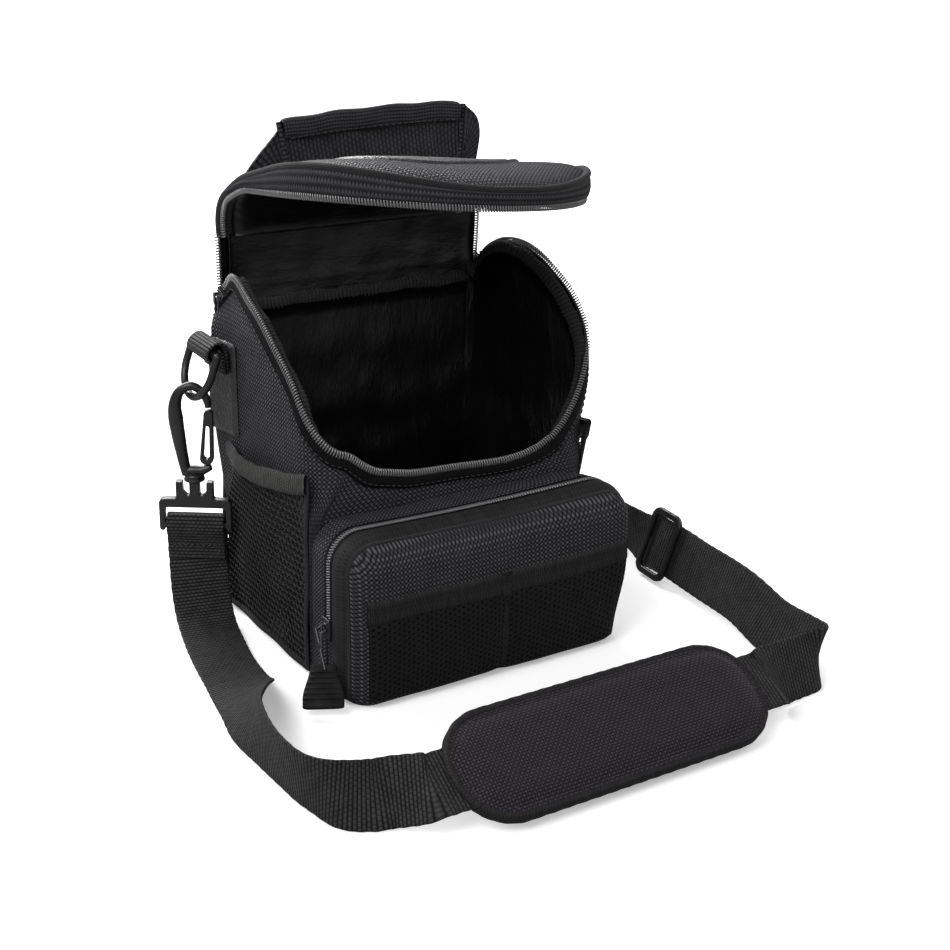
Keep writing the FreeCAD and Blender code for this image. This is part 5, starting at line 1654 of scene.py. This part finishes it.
# left hook to right hook: (centre, width direction)
STRAP = [
    ((-98, 38, 39.6), TURN_LEFT), ((-98, 38, 36), TURN_LEFT), ((-98.4, 35.8, 26), (.9, -.42, 0)),
    ((-99.6, 31, 15), (.96, -.27, 0)), ((-101.5, 22, 6.0), (.985, -.17, 0)),
    ((-104, 9, 2.0), (.99, -.13, 0)), ((-109.5, -17, 1.6), (.99, -.15, 0)),
    ((-113.5, -42, 2.0), (.98, -.1, .08)), ((-119.0, -66, 5.0), (.92, .02, .4)),
    ((-127.5, -88, 10.5), (.6, .02, .8)), ((-133.5, -110, 14.5), (.12, 0, 1)),
    ((-135.6, -134, 15.2), (-.08, -.05, 1)), ((-134.2, -155, 15.2), (-.12, -.05, 1)),
    ((-127.5, -170, 14.8), (-.02, .22, .97)), ((-115, -177.5, 14.4), (.05, .45, .88)),
    ((-106, -180.5, 14.8), (.03, .58, .81)), ((-98.5, -185.6, 16.4), (0, .75, .65)),
    ((-93.5, -190.0, 18.4), FLAT), ((-90, -190.5, 18.8), FLAT), ((-70, -190.5, 18.8), FLAT),
    ((0, -190.5, 18.8), FLAT), ((70, -190.5, 18.8), FLAT), ((90, -190.5, 18.8), FLAT),
    ((93.5, -190.0, 18.4), FLAT), ((98.5, -186.2, 16.6), (.05, .72, .69)),
    ((106, -184.0, 14.8), (.12, .5, .86)), ((118, -183.4, 14.6), (.15, .42, .89)),
    ((129, -182.6, 14.8), (.2, .4, .89)), ((136.0, -177.5, 15.2), (.4, .22, .89)),
    ((136.6, -166, 15.0), (.42, .05, .9)), ((137.6, -144, 14.6), (.4, .0, .92)),
    ((139.9, -116, 19.2), (.33, 0, .944)), ((142.6, -80, 19.2), (.33, 0, .944)),
    ((144.7, -52, 19.2), (.33, 0, .944)), ((147.2, -26, 15.6), (.12, 0, .99)),
    ((150.4, -4, 15.2), (-.15, -.03, .98)), ((150.8, 15, 15.4), (-.05, 0, 1)),
    ((145.0, 31, 15.4), (.02, .12, .99)), ((133, 40.5, 16.0), (.12, .42, .9)),
    ((119.5, 42.8, 20.5), (.3, .78, .55)), ((107.5, 41.0, 27.5), (.42, .88, .2)),
    ((100.2, 38.8, 33.5), (.49, .87, .02)), ((98, 38, 36.5), TURN_RIGHT),
    ((98, 38, 39.6), TURN_RIGHT)]
put(ribbon("strap_band", STRAP, 8, 30.0, 1.6, WEBBING, floor=.45, wave=.12, step=1.3),
    "bag_body", "webbing", "strap_webbing")

# turn of webbing over each hook base: (out from the middle, z) up one face, mirrored down
TURN_UP = [(1.75, 33.5), (1.75, 40), (2.2, 44), (3.3, 47.6), (3.75, 51.0), (3.3, 54.4),
           (1.9, 56.6)]
TURN_RUN = TURN_UP + [(0, 57.3)] + [(-out, z) for out, z in reversed(TURN_UP)]
for (side, label), across in zip(SIDES, (vec(*TURN_LEFT), vec(*TURN_RIGHT))):
    centre = side * HOOK_X
    normal = np.cross(across, vec(0, 0, 1))
    keys = [(vec(centre, HOOK_Y, z) + normal * out, across) for out, z in TURN_RUN]
    put(ribbon("strap_turn_" + label, keys, 6, 29.6, 1.4, WEBBING, wave=.05, step=1.0),
        "bag_body", "webbing")
    for face, tag in ((1, "a"), (-1, "b")):
        path = np.array([vec(centre, HOOK_Y, z) + across * place
                         + normal * face * (2.5 + (.25 if z > 39 else 0))
                         for place, z in box_outline(-12, 12, 35, 41, 14)])
        put(stitches(f"strap_stitch_{label}_{tag}", path, normal * face),
            "bag_body", "webbing")


# ---------------------------------------------------------------- shoulder pad
PAD_L, PAD_W = 168.0, 54.0
CLOTH_FRAMES = 20


def pad_pt(along, across, out):
    return PAD_CENTRE + PAD_LONG * along + PAD_WIDE * across + PAD_OUT * out


def read_points(mesh):
    points = np.zeros(len(mesh.vertices) * 3)
    mesh.vertices.foreach_get("co", points)
    return points.reshape(-1, 3)


def write_points(mesh, points):
    mesh.vertices.foreach_set("co", points.ravel())
    mesh.update()


def puff_up(ob, cap, loose):
    """Swell a cushion with a short cloth run, each point moving cap mm at most.

    loose gives how freely each rest point (in mm) may move.
    """
    bpy.context.view_layer.objects.active = ob
    for other in bpy.context.selected_objects:
        other.select_set(False)
    ob.select_set(True)
    rest = read_points(ob.data)
    cloth = ob.modifiers.new("c", "CLOTH")
    settings = cloth.settings
    settings.quality = 6
    settings.mass = .15
    settings.tension_stiffness = 18
    settings.compression_stiffness = 18
    settings.bending_stiffness = 2.0
    settings.use_pressure = True
    settings.uniform_pressure_force = 4.0
    settings.effector_weights.gravity = 0
    cloth.point_cache.frame_start = 1
    cloth.point_cache.frame_end = CLOTH_FRAMES
    for number in range(1, CLOTH_FRAMES + 1):
        bpy.context.scene.frame_set(number)
    depsgraph = bpy.context.evaluated_depsgraph_get()
    move = read_points(ob.evaluated_get(depsgraph).data) - rest
    ob.modifiers.remove(cloth)
    length = np.linalg.norm(move, axis=1, keepdims=True)
    move = move * np.minimum(1, cap * MM / np.maximum(length, 1e-9))
    write_points(ob.data, rest + move * loose(rest / MM)[:, None])
    bpy.context.scene.frame_set(1)
    subdivide = ob.modifiers.new("u", "SUBSURF")
    subdivide.levels = subdivide.render_levels = 1
    bpy.ops.object.modifier_apply(modifier="u")


def cushion(name, side, mat):
    """Half of the pad: softly crowned outside, flat against the webbing."""
    half_l, half_w, radius = (PAD_L - 3.4) / 2, (PAD_W - 3.4) / 2, 24.0
    steps = np.array([.02, .35, .9, 1.7, 2.6, 3.5, 4.8, 6.6])
    xs = np.concatenate([-half_l + steps, np.linspace(-half_l + 9, half_l - 9, 64),
                         (half_l - steps)[::-1]])
    parts = np.concatenate([[0, .012, .03, .06, .1, .14, .19], np.linspace(.25, .75, 18),
                            [.81, .86, .9, .94, .97, .988, 1]]) * 2 - 1
    top, low = [], []
    for x in xs:
        past_x = max(abs(x) - (half_l - radius), 0)
        reach = half_w - radius + sqrt(max(radius * radius - past_x * past_x, .01))
        for part in parts:
            y = part * reach
            past_y = max(abs(y) - (half_w - radius), 0)
            if past_x > 0 and past_y > 0:
                gap = radius - hypot(past_x, past_y)
            else:
                gap = min(half_l - abs(x), half_w - abs(y))
            gap = max(gap, 0)
            height = (1.6 + 1.5 * (1 - exp(-gap / .8)) + .9 * (1 - exp(-max(gap - 2.6, 0) / 5.0))
                      - .75 * exp(-((gap - 3.0) / .8) ** 2))
            top.append(pad_pt(x, y, side * height))
            low.append(pad_pt(x, y, side * .95))
    rows, cols = len(xs), len(parts)
    count = rows * cols
    faces = []
    for quad, _ in quads(rows, cols):
        faces += [quad, tuple(count + k for k in quad[::-1])]
    base = (rows - 1) * cols
    rim = [(j + 1, j) for j in range(cols - 1)]
    rim += [(base + j, base + j + 1) for j in range(cols - 1)]
    rim += [(i * cols, (i + 1) * cols) for i in range(rows - 1)]
    rim += [((i + 1) * cols + cols - 1, i * cols + cols - 1) for i in range(rows - 1)]
    faces += [(b, a, count + a, count + b) for a, b in rim]
    ob = make(name, np.array(top + low), [face[::side] for face in faces], mat)

    def loose(points):
        from_centre = points - PAD_CENTRE
        height = (from_centre @ PAD_OUT) * side
        edge = np.minimum(PAD_L / 2 - 2 - np.abs(from_centre @ PAD_LONG),
                          PAD_W / 2 - 2 - np.abs(from_centre @ PAD_WIDE))
        return ease(1.6, 2.6, height) * ease(3, 9, edge)

    puff_up(ob, 1.3, loose)
    mesh = ob.data
    from_centre = read_points(mesh) / MM - PAD_CENTRE
    along, across = from_centre @ PAD_LONG, from_centre @ PAD_WIDE
    out = np.maximum((from_centre @ PAD_OUT) * side, .92)
    out += ease(1.5, 3.0, out) * .3 * ripple(along * 1.4, across * 1.6, 51 + side)
    points = (PAD_CENTRE + along[:, None] * PAD_LONG + across[:, None] * PAD_WIDE
              + out[:, None] * side * PAD_OUT)
    write_points(mesh, points * MM)
    # flat UVs in mm across the pad
    from_centre = read_points(mesh) / MM - PAD_CENTRE
    uvs = np.stack([from_centre @ PAD_LONG, from_centre @ PAD_WIDE], 1)[loop_points(mesh)]
    mesh.uv_layers[0].data.foreach_set("uv", uvs.astype(np.float32).ravel())
    shade_smooth(mesh)
    return ob


put(cushion("pad_front", 1, PAD_FABRIC), "shoulder_pad", "pad", "pad_face")
put(cushion("pad_rear", -1, KNIT), "shoulder_pad", "pad", "pad_back")

# binding round the edge
BINDING_STEP = .9
CORE_L, CORE_W = PAD_L / 2 - 24, PAD_W / 2 - 24
outline = stadium(PAD_L - 3.2, PAD_W - 3.2, 24.2, 40)
path = np.array([pad_pt(x, y, .25 * sin(x * .08)) for x, y in outline])
outward = np.array([PAD_LONG * (x - copysign(min(abs(x), CORE_L), x))
                    + PAD_WIDE * (y - copysign(min(abs(y), CORE_W), y)) for x, y in outline])
path, outward = (rows[:-1] for rows in respace(BINDING_STEP, closed(path),
                                               unit_rows(closed(outward))))


def binding_pt(i, corner):
    at = i * BINDING_STEP
    return (path[i] + outward[i] * (corner[0] * 2.0 + .1 * sin(at * .8))
            + PAD_OUT * corner[1] * 3.2 * (1 + .03 * sin(at * 1.9)))


grid = lattice(binding_pt, range(len(path)), squircle(20, .8, .75))
put(surf("pad_binding_roll", grid, PAD_BINDING, wrap_u=True, wrap_v=True),
    "shoulder_pad", "knit", "pad_binding")
for face, label in ((1, "front"), (-1, "rear")):
    seam = np.array([pad_pt(x, y, face * 2.75)
                     for x, y in closed(stadium(PAD_L - 9.4, PAD_W - 9.4, 21.0, 40))])
    put(stitches("pad_stitch_" + label, seam, PAD_OUT * face, 2.2, radius=.22, gap=1.2),
        "shoulder_pad", "pad")


# ---------------------------------------------------------------- pocket pull grip
GRIP_PIN = vec(-79.7, -68, 34)
GRIP_DOWN = unit(vec(-11, -21, -28.5))
GRIP_ACROSS = vec(.8387, -.5446, 0)
GRIP_ACROSS = unit(GRIP_ACROSS - GRIP_DOWN * float(GRIP_ACROSS @ GRIP_DOWN))
GRIP_NORMAL = np.cross(GRIP_DOWN, GRIP_ACROSS)
grip_section = squircle(28, .55, .6)


def grip_row(at):
    """Section of the ribbed tab, at mm from the pin, rounded off at both ends."""
    part = (at - 18) / 19.5
    half = 6.2 + 3.6 * ease(0, .8, part)
    thick = 1.9 + (.45 * cos((at - 21) * 2 * pi / 2.5) if .12 < part < .9 else 0)
    end = 1.0
    if at < 18.2:
        end = sqrt(max(.0, 1 - ((18.2 - at) / 1.0) ** 2))
    if at > 37.6:
        end = sqrt(max(.02, 1 - ((at - 37.6) / .95) ** 2))
    half, thick = half * (.6 + .4 * end), thick * max(end, .15)
    return [GRIP_PIN + GRIP_DOWN * at + GRIP_ACROSS * a * half + GRIP_NORMAL * b * thick
            for a, b in grip_section]


grip_at = np.concatenate([[17.2, 17.3, 17.7], np.linspace(18.2, 37.6, 66), [38.1, 38.4, 38.5]])
put(surf("pocket_pull_tab", np.array([grip_row(at) for at in grip_at]), GRIP, wrap_v=True,
         caps=True, flip=True), "pocket_pull", "grip", "pocket_pull_grip")


# ---------------------------------------------------------------- hooks and glide
def round_off(ob, voxel, passes):
    """Remesh and smooth a piece so that all its edges are rounded."""
    remesh = ob.modifiers.new("round", "REMESH")
    remesh.mode = "VOXEL"
    remesh.voxel_size = voxel * MM
    remesh.use_smooth_shade = True
    smooth = ob.modifiers.new("ease", "SMOOTH")
    smooth.factor = .5
    smooth.iterations = passes


def slab(name, outline, hole, thick, place, passes):
    """Moulded plate with an opening; place maps (a, b, depth) to the bag."""
    bm = bmesh.new()
    edges = []
    for loop in (outline, hole):
        corners = [bm.verts.new((a, b, 0)) for a, b in loop]
        edges += [bm.edges.new((corners[k], corners[(k + 1) % len(corners)]))
                  for k in range(len(corners))]
    bmesh.ops.triangle_fill(bm, use_beauty=True, edges=edges)
    made = bmesh.ops.extrude_face_region(bm, geom=bm.faces[:])
    raised = [item for item in made["geom"] if isinstance(item, bmesh.types.BMVert)]
    bmesh.ops.translate(bm, verts=raised, vec=(0, 0, thick))
    bmesh.ops.recalc_face_normals(bm, faces=bm.faces[:])
    for vert in bm.verts:
        vert.co = Vector(place(vert.co.x, vert.co.y, vert.co.z - thick / 2) * MM)
    mesh = bpy.data.meshes.new(name)
    bm.to_mesh(mesh)
    bm.free()
    mesh.materials.append(HARDWARE)
    ob = bpy.data.objects.new(name, mesh)
    bpy.context.scene.collection.objects.link(ob)
    round_off(ob, .4, passes)
    return ob


def arc_points(a, b, radius, start, end, count):
    return [(a + radius * cos(radians(angle)), b + radius * sin(radians(angle)))
            for angle in np.linspace(start, end, count)]


def rod(name, stops, place):
    """Rod through (a, b, half width, half depth) stops."""
    path = catmull([(a, b, 0) for a, b, _, _ in stops], 6)
    sizes = interp_rows(np.linspace(0, len(stops) - 1, len(path)), np.arange(len(stops)),
                        np.array(stops, float)[:, 2:])
    tangent = unit_rows(np.gradient(path, axis=0))
    side = np.stack([-tangent[:, 1], tangent[:, 0], np.zeros(len(tangent))], 1)
    grid = lattice(lambda k, angle: place(*(path[k] + side[k] * cos(angle) * sizes[k, 0]
                                            + vec(0, 0, 1) * sin(angle) * sizes[k, 1])),
                   range(len(path)), circle(16))
    ob = surf(name, grid, HARDWARE, wrap_v=True, caps=True)
    bm = bmesh.new()
    bm.from_mesh(ob.data)
    bmesh.ops.recalc_face_normals(bm, faces=bm.faces[:])
    bm.to_mesh(ob.data)
    bm.free()
    return ob


# Hook tables are in the hook's own plane: a across, b = z.
# spine that widens upward and curls over into the bow: (a, b, half width, half depth)
HOOK_BOW = [(-3.6, 79.3, 2.7, 2.6), (-4.7, 84, 2.8, 2.6), (-5.9, 91, 3.1, 2.6),
            (-7.2, 100, 3.6, 2.6), (-8.2, 109, 3.9, 2.5), (-8.3, 116.5, 3.3, 2.4),
            (-5.9, 123.2, 2.5, 2.3), (-.4, 126.6, 2.15, 2.2), (5.2, 124.0, 2.15, 2.2),
            (7.9, 118.9, 2.1, 2.1), (8.2, 115.6, 1.6, 1.7)]
HOOK_FOOT = [(-5.0, 80.6, 2.2, 2.5), (-1, 81.4, 2.7, 2.7), (4, 81.6, 2.5, 2.6),
             (8.6, 83.6, 1.7, 2.1)]
# turned collar under the hook: (z, radius)
COLLAR = [(76.0, .4), (76.0, 4.6), (76.4, 5.3), (77.4, 5.3), (77.8, 4.7), (78.2, 5.0),
          (79.3, 5.0), (79.9, 4.2), (80.6, 3.0), (80.8, .4)]
# sprung gate: a long loop with a slit
GATE = arc_points(8.3, 111.9, 2.4, -10, 190, 10) + arc_points(6.8, 88.4, 3.5, 180, 360, 12)
GATE_SLIT = arc_points(7.6, 105.0, 1.0, 0, 180, 7) + arc_points(6.8, 89.6, 1.5, 180, 360, 8)
# base: posts and a bridge over a wide frame for the webbing
BASE = [(-9.6, 75.6), (-9.6, 66.4), (-17.0, 66.0), (-18.6, 64.2), (-18.6, 49.6),
        (-17.4, 48.4), (-15.9, 48.8), (-15.6, 50.2), (15.6, 50.2), (15.9, 48.8),
        (17.4, 48.4), (18.6, 49.6), (18.6, 64.2), (17.0, 66.0), (9.6, 66.4), (9.6, 75.6),
        (6.2, 75.6), (6.0, 70.4), (4.4, 68.4), (2.6, 68.0), (2.6, 75.6), (-2.6, 75.6),
        (-2.6, 68.0), (-4.4, 68.4), (-6.0, 70.4), (-6.2, 75.6)]
BASE_HOLE = [(-15.6, 53.2), (15.6, 53.2), (15.6, 60.2), (14.6, 61.4), (-14.6, 61.4),
             (-15.6, 60.2)]


def hook_plane(side, degrees):
    """Map from (a, b, depth) to the bag for a hook turned about its upright axis."""
    c, s = cos(radians(degrees)), sin(radians(degrees))
    return lambda a, b, depth: vec(side * HOOK_X + a * c - depth * s,
                                   HOOK_Y + a * s + depth * c, b)


for (side, label), base_turn, hook_turn in zip(SIDES, (-33.0, 60.0), (-33.0, 33.0)):
    on_hook, on_base = hook_plane(side, hook_turn), hook_plane(side, base_turn)
    hook = "hook_" + label
    put(rod("hook_bow_" + label, HOOK_BOW, on_hook), hook, "hardware", hook)
    put(rod("hook_foot_" + label, HOOK_FOOT, on_hook), hook, "hardware")
    grid = lattice(lambda row, angle: on_hook(row[1] * cos(angle), row[0],
                                              row[1] * sin(angle)), COLLAR, circle(32))
    put(surf("hook_collar_" + label, grid, HARDWARE, wrap_v=True, caps=True), hook,
        "hardware")
    put(slab("hook_gate_body_" + label, GATE, GATE_SLIT[::-1], 3.8, on_hook, passes=4),
        "gate_" + label, "hardware", "hook_gate_" + label)
    put(slab("hook_base_" + label, BASE, BASE_HOLE, 4.6, on_base, passes=3),
        "bag_body", "hardware", *left_only(side, "hook_bases"))

# glide: rounded frame on the strap's inner (-x) face, the webbing rising through it
GLIDE_ALONG = unit(vec(2.7, 36.0, 0))
GLIDE_ACROSS = vec(.33, 0, .944)
GLIDE_ACROSS = unit(GLIDE_ACROSS - GLIDE_ALONG * float(GLIDE_ACROSS @ GLIDE_ALONG))
GLIDE_OUT = np.cross(GLIDE_ACROSS, GLIDE_ALONG)
GLIDE_CENTRE = vec(142.6, -80.0, 19.2) + GLIDE_ALONG * 36.0


def glide_pt(along, across, out):
    return GLIDE_CENTRE + GLIDE_ALONG * along + GLIDE_ACROSS * across + GLIDE_OUT * out


put(slab("glide_frame", stadium(26.0, 39.0, 6.5, 7), stadium(18.6, 31.6, 3.4, 7)[::-1], 2.6,
         lambda a, b, depth: glide_pt(a, b, depth + 2.5), passes=5),
    "tri_glide", "hardware", "tri_glide")
grid = lattice(lambda a, b: glide_pt(a, b, -1.0 + 2.9 * cos(a / 12.5 * pi / 2) ** .7),
               np.linspace(-11.5, 11.5, 30), np.linspace(-15, 15, 16))
put(shell("glide_webbing", grid[:, ::-1], 1.0, WEBBING), "tri_glide", "webbing")


# ---------------------------------------------------------------- CAD pieces kept in place
def dress(piece, mat):
    ob = cad_pieces[piece]
    ob.data.materials.clear()
    ob.data.materials.append(mat)
    return ob


# (piece, voxel, material)
for piece, voxel, mat in (("d_ring_left", .42, HARDWARE), ("d_ring_right", .42, HARDWARE),
                          ("pocket_slider", .25, METAL), ("pocket_pull_wire", .22, METAL),
                          ("zip_slider_left", .25, METAL), ("zip_slider_right", .25, METAL),
                          ("zip_pull_left", .22, METAL), ("zip_pull_right", .22, METAL)):
    round_off(dress(piece, mat), voxel, passes=4)
dress("base_board", BOARD)


# ---------------------------------------------------------------- stage, light, camera
def floor_material():
    """Grey to the camera, near white to other rays, glowing white away from the bag."""
    shader = Shader("mat_floor")
    patches = shader.noise(shader.coords("Object"), scale=3.0, detail=2.0)
    seen = shader.node("ShaderNodeLightPath").outputs["Is Camera Ray"]
    pale = shader.ramp(patches, (.3, (.93,) * 3), (.7, (.95,) * 3))
    colour = shader.node("ShaderNodeMix", {0: seen, 6: (.34, .34, .34, 1), 7: pale},
                         data_type="RGBA").outputs[2]
    shader.finish(colour, .6)
    position = shader.node("ShaderNodeNewGeometry").outputs["Position"]
    away = shader.node("ShaderNodeVectorMath", {0: position}, operation="LENGTH")
    # distances in metres
    glow = shader.remap(away.outputs["Value"], .32, 1.0, from_low=.22, from_high=.75)
    shader.feed(shader.bsdf.inputs["Emission Color"], (1, 1, 1, 1))
    shader.feed(shader.bsdf.inputs["Emission Strength"], shader.mul(glow, seen))
    return shader.material


spots = np.linspace(-4000, 4000, 9)
surf("floor", lattice(lambda x, y: vec(x, y, -.05), spots, spots), floor_material())

WORLD_LIGHT, WORLD_SEEN = 0.30, 1.05    # world strength as light, and as the backdrop
world = bpy.data.worlds.new("world")
bpy.context.scene.world = world
world.use_nodes = True
tree = world.node_tree
background = next(n for n in tree.nodes if n.type == "BACKGROUND")
background.inputs[0].default_value = (1, 1, 1, 1)
ray = tree.nodes.new("ShaderNodeLightPath")
strength = tree.nodes.new("ShaderNodeMapRange")
tree.links.new(ray.outputs["Is Camera Ray"], strength.inputs[0])
strength.inputs[3].default_value = WORLD_LIGHT
strength.inputs[4].default_value = WORLD_SEEN
tree.links.new(strength.outputs[0], background.inputs[1])


def area(name, location, target, size, watts):
    """Rectangular light; lengths in metres."""
    light = bpy.data.lights.new(name, "AREA")
    light.shape = "RECTANGLE"
    light.size, light.size_y = size
    light.energy = watts
    ob = bpy.data.objects.new(name, light)
    bpy.context.scene.collection.objects.link(ob)
    ob.location = Vector(location)
    aim = Vector(target) - Vector(location)
    ob.rotation_euler = aim.to_track_quat("-Z", "Y").to_euler()


area("key", location=(-1.0, -.4, 1.1), target=(0, -.02, .1), size=(.9, .9), watts=15.0)
area("side", location=(1.15, -.25, .7), target=(0, 0, .12), size=(.5, 1.0), watts=3.6)
area("back", location=(-.1, 1.1, .9), target=(0, 0, .15), size=(1.2, .6), watts=30.0)
area("front_low", location=(.1, -1.4, .55), target=(0, 0, .08), size=(1.2, .5), watts=2.8)

CAMERA_PLACE = (-.3886, -.6719, .3800)      # metres
CAMERA_BACK = (-.5067, -.7803, .3665)       # from the bag towards the camera
CAMERA_RIGHT = (.8387, -.5446, 0)
CAMERA_ROLL = radians(1.6)
lens = bpy.data.cameras.new("camera")
lens.lens, lens.sensor_width = 60.37, 36.0
lens.clip_end = 50
camera = bpy.data.objects.new("camera", lens)
bpy.context.scene.collection.objects.link(camera)
back = Vector(CAMERA_BACK).normalized()
level = Vector(CAMERA_RIGHT).normalized()
upright = back.cross(level)
right = level * cos(CAMERA_ROLL) + upright * sin(CAMERA_ROLL)
up = -level * sin(CAMERA_ROLL) + upright * cos(CAMERA_ROLL)
pose = Matrix((right, up, back)).transposed().to_4x4()
pose.translation = CAMERA_PLACE
camera.matrix_world = pose
bpy.context.scene.camera = camera

bpy.context.scene.view_settings.view_transform = "Standard"
bpy.context.scene.view_settings.look = "None"
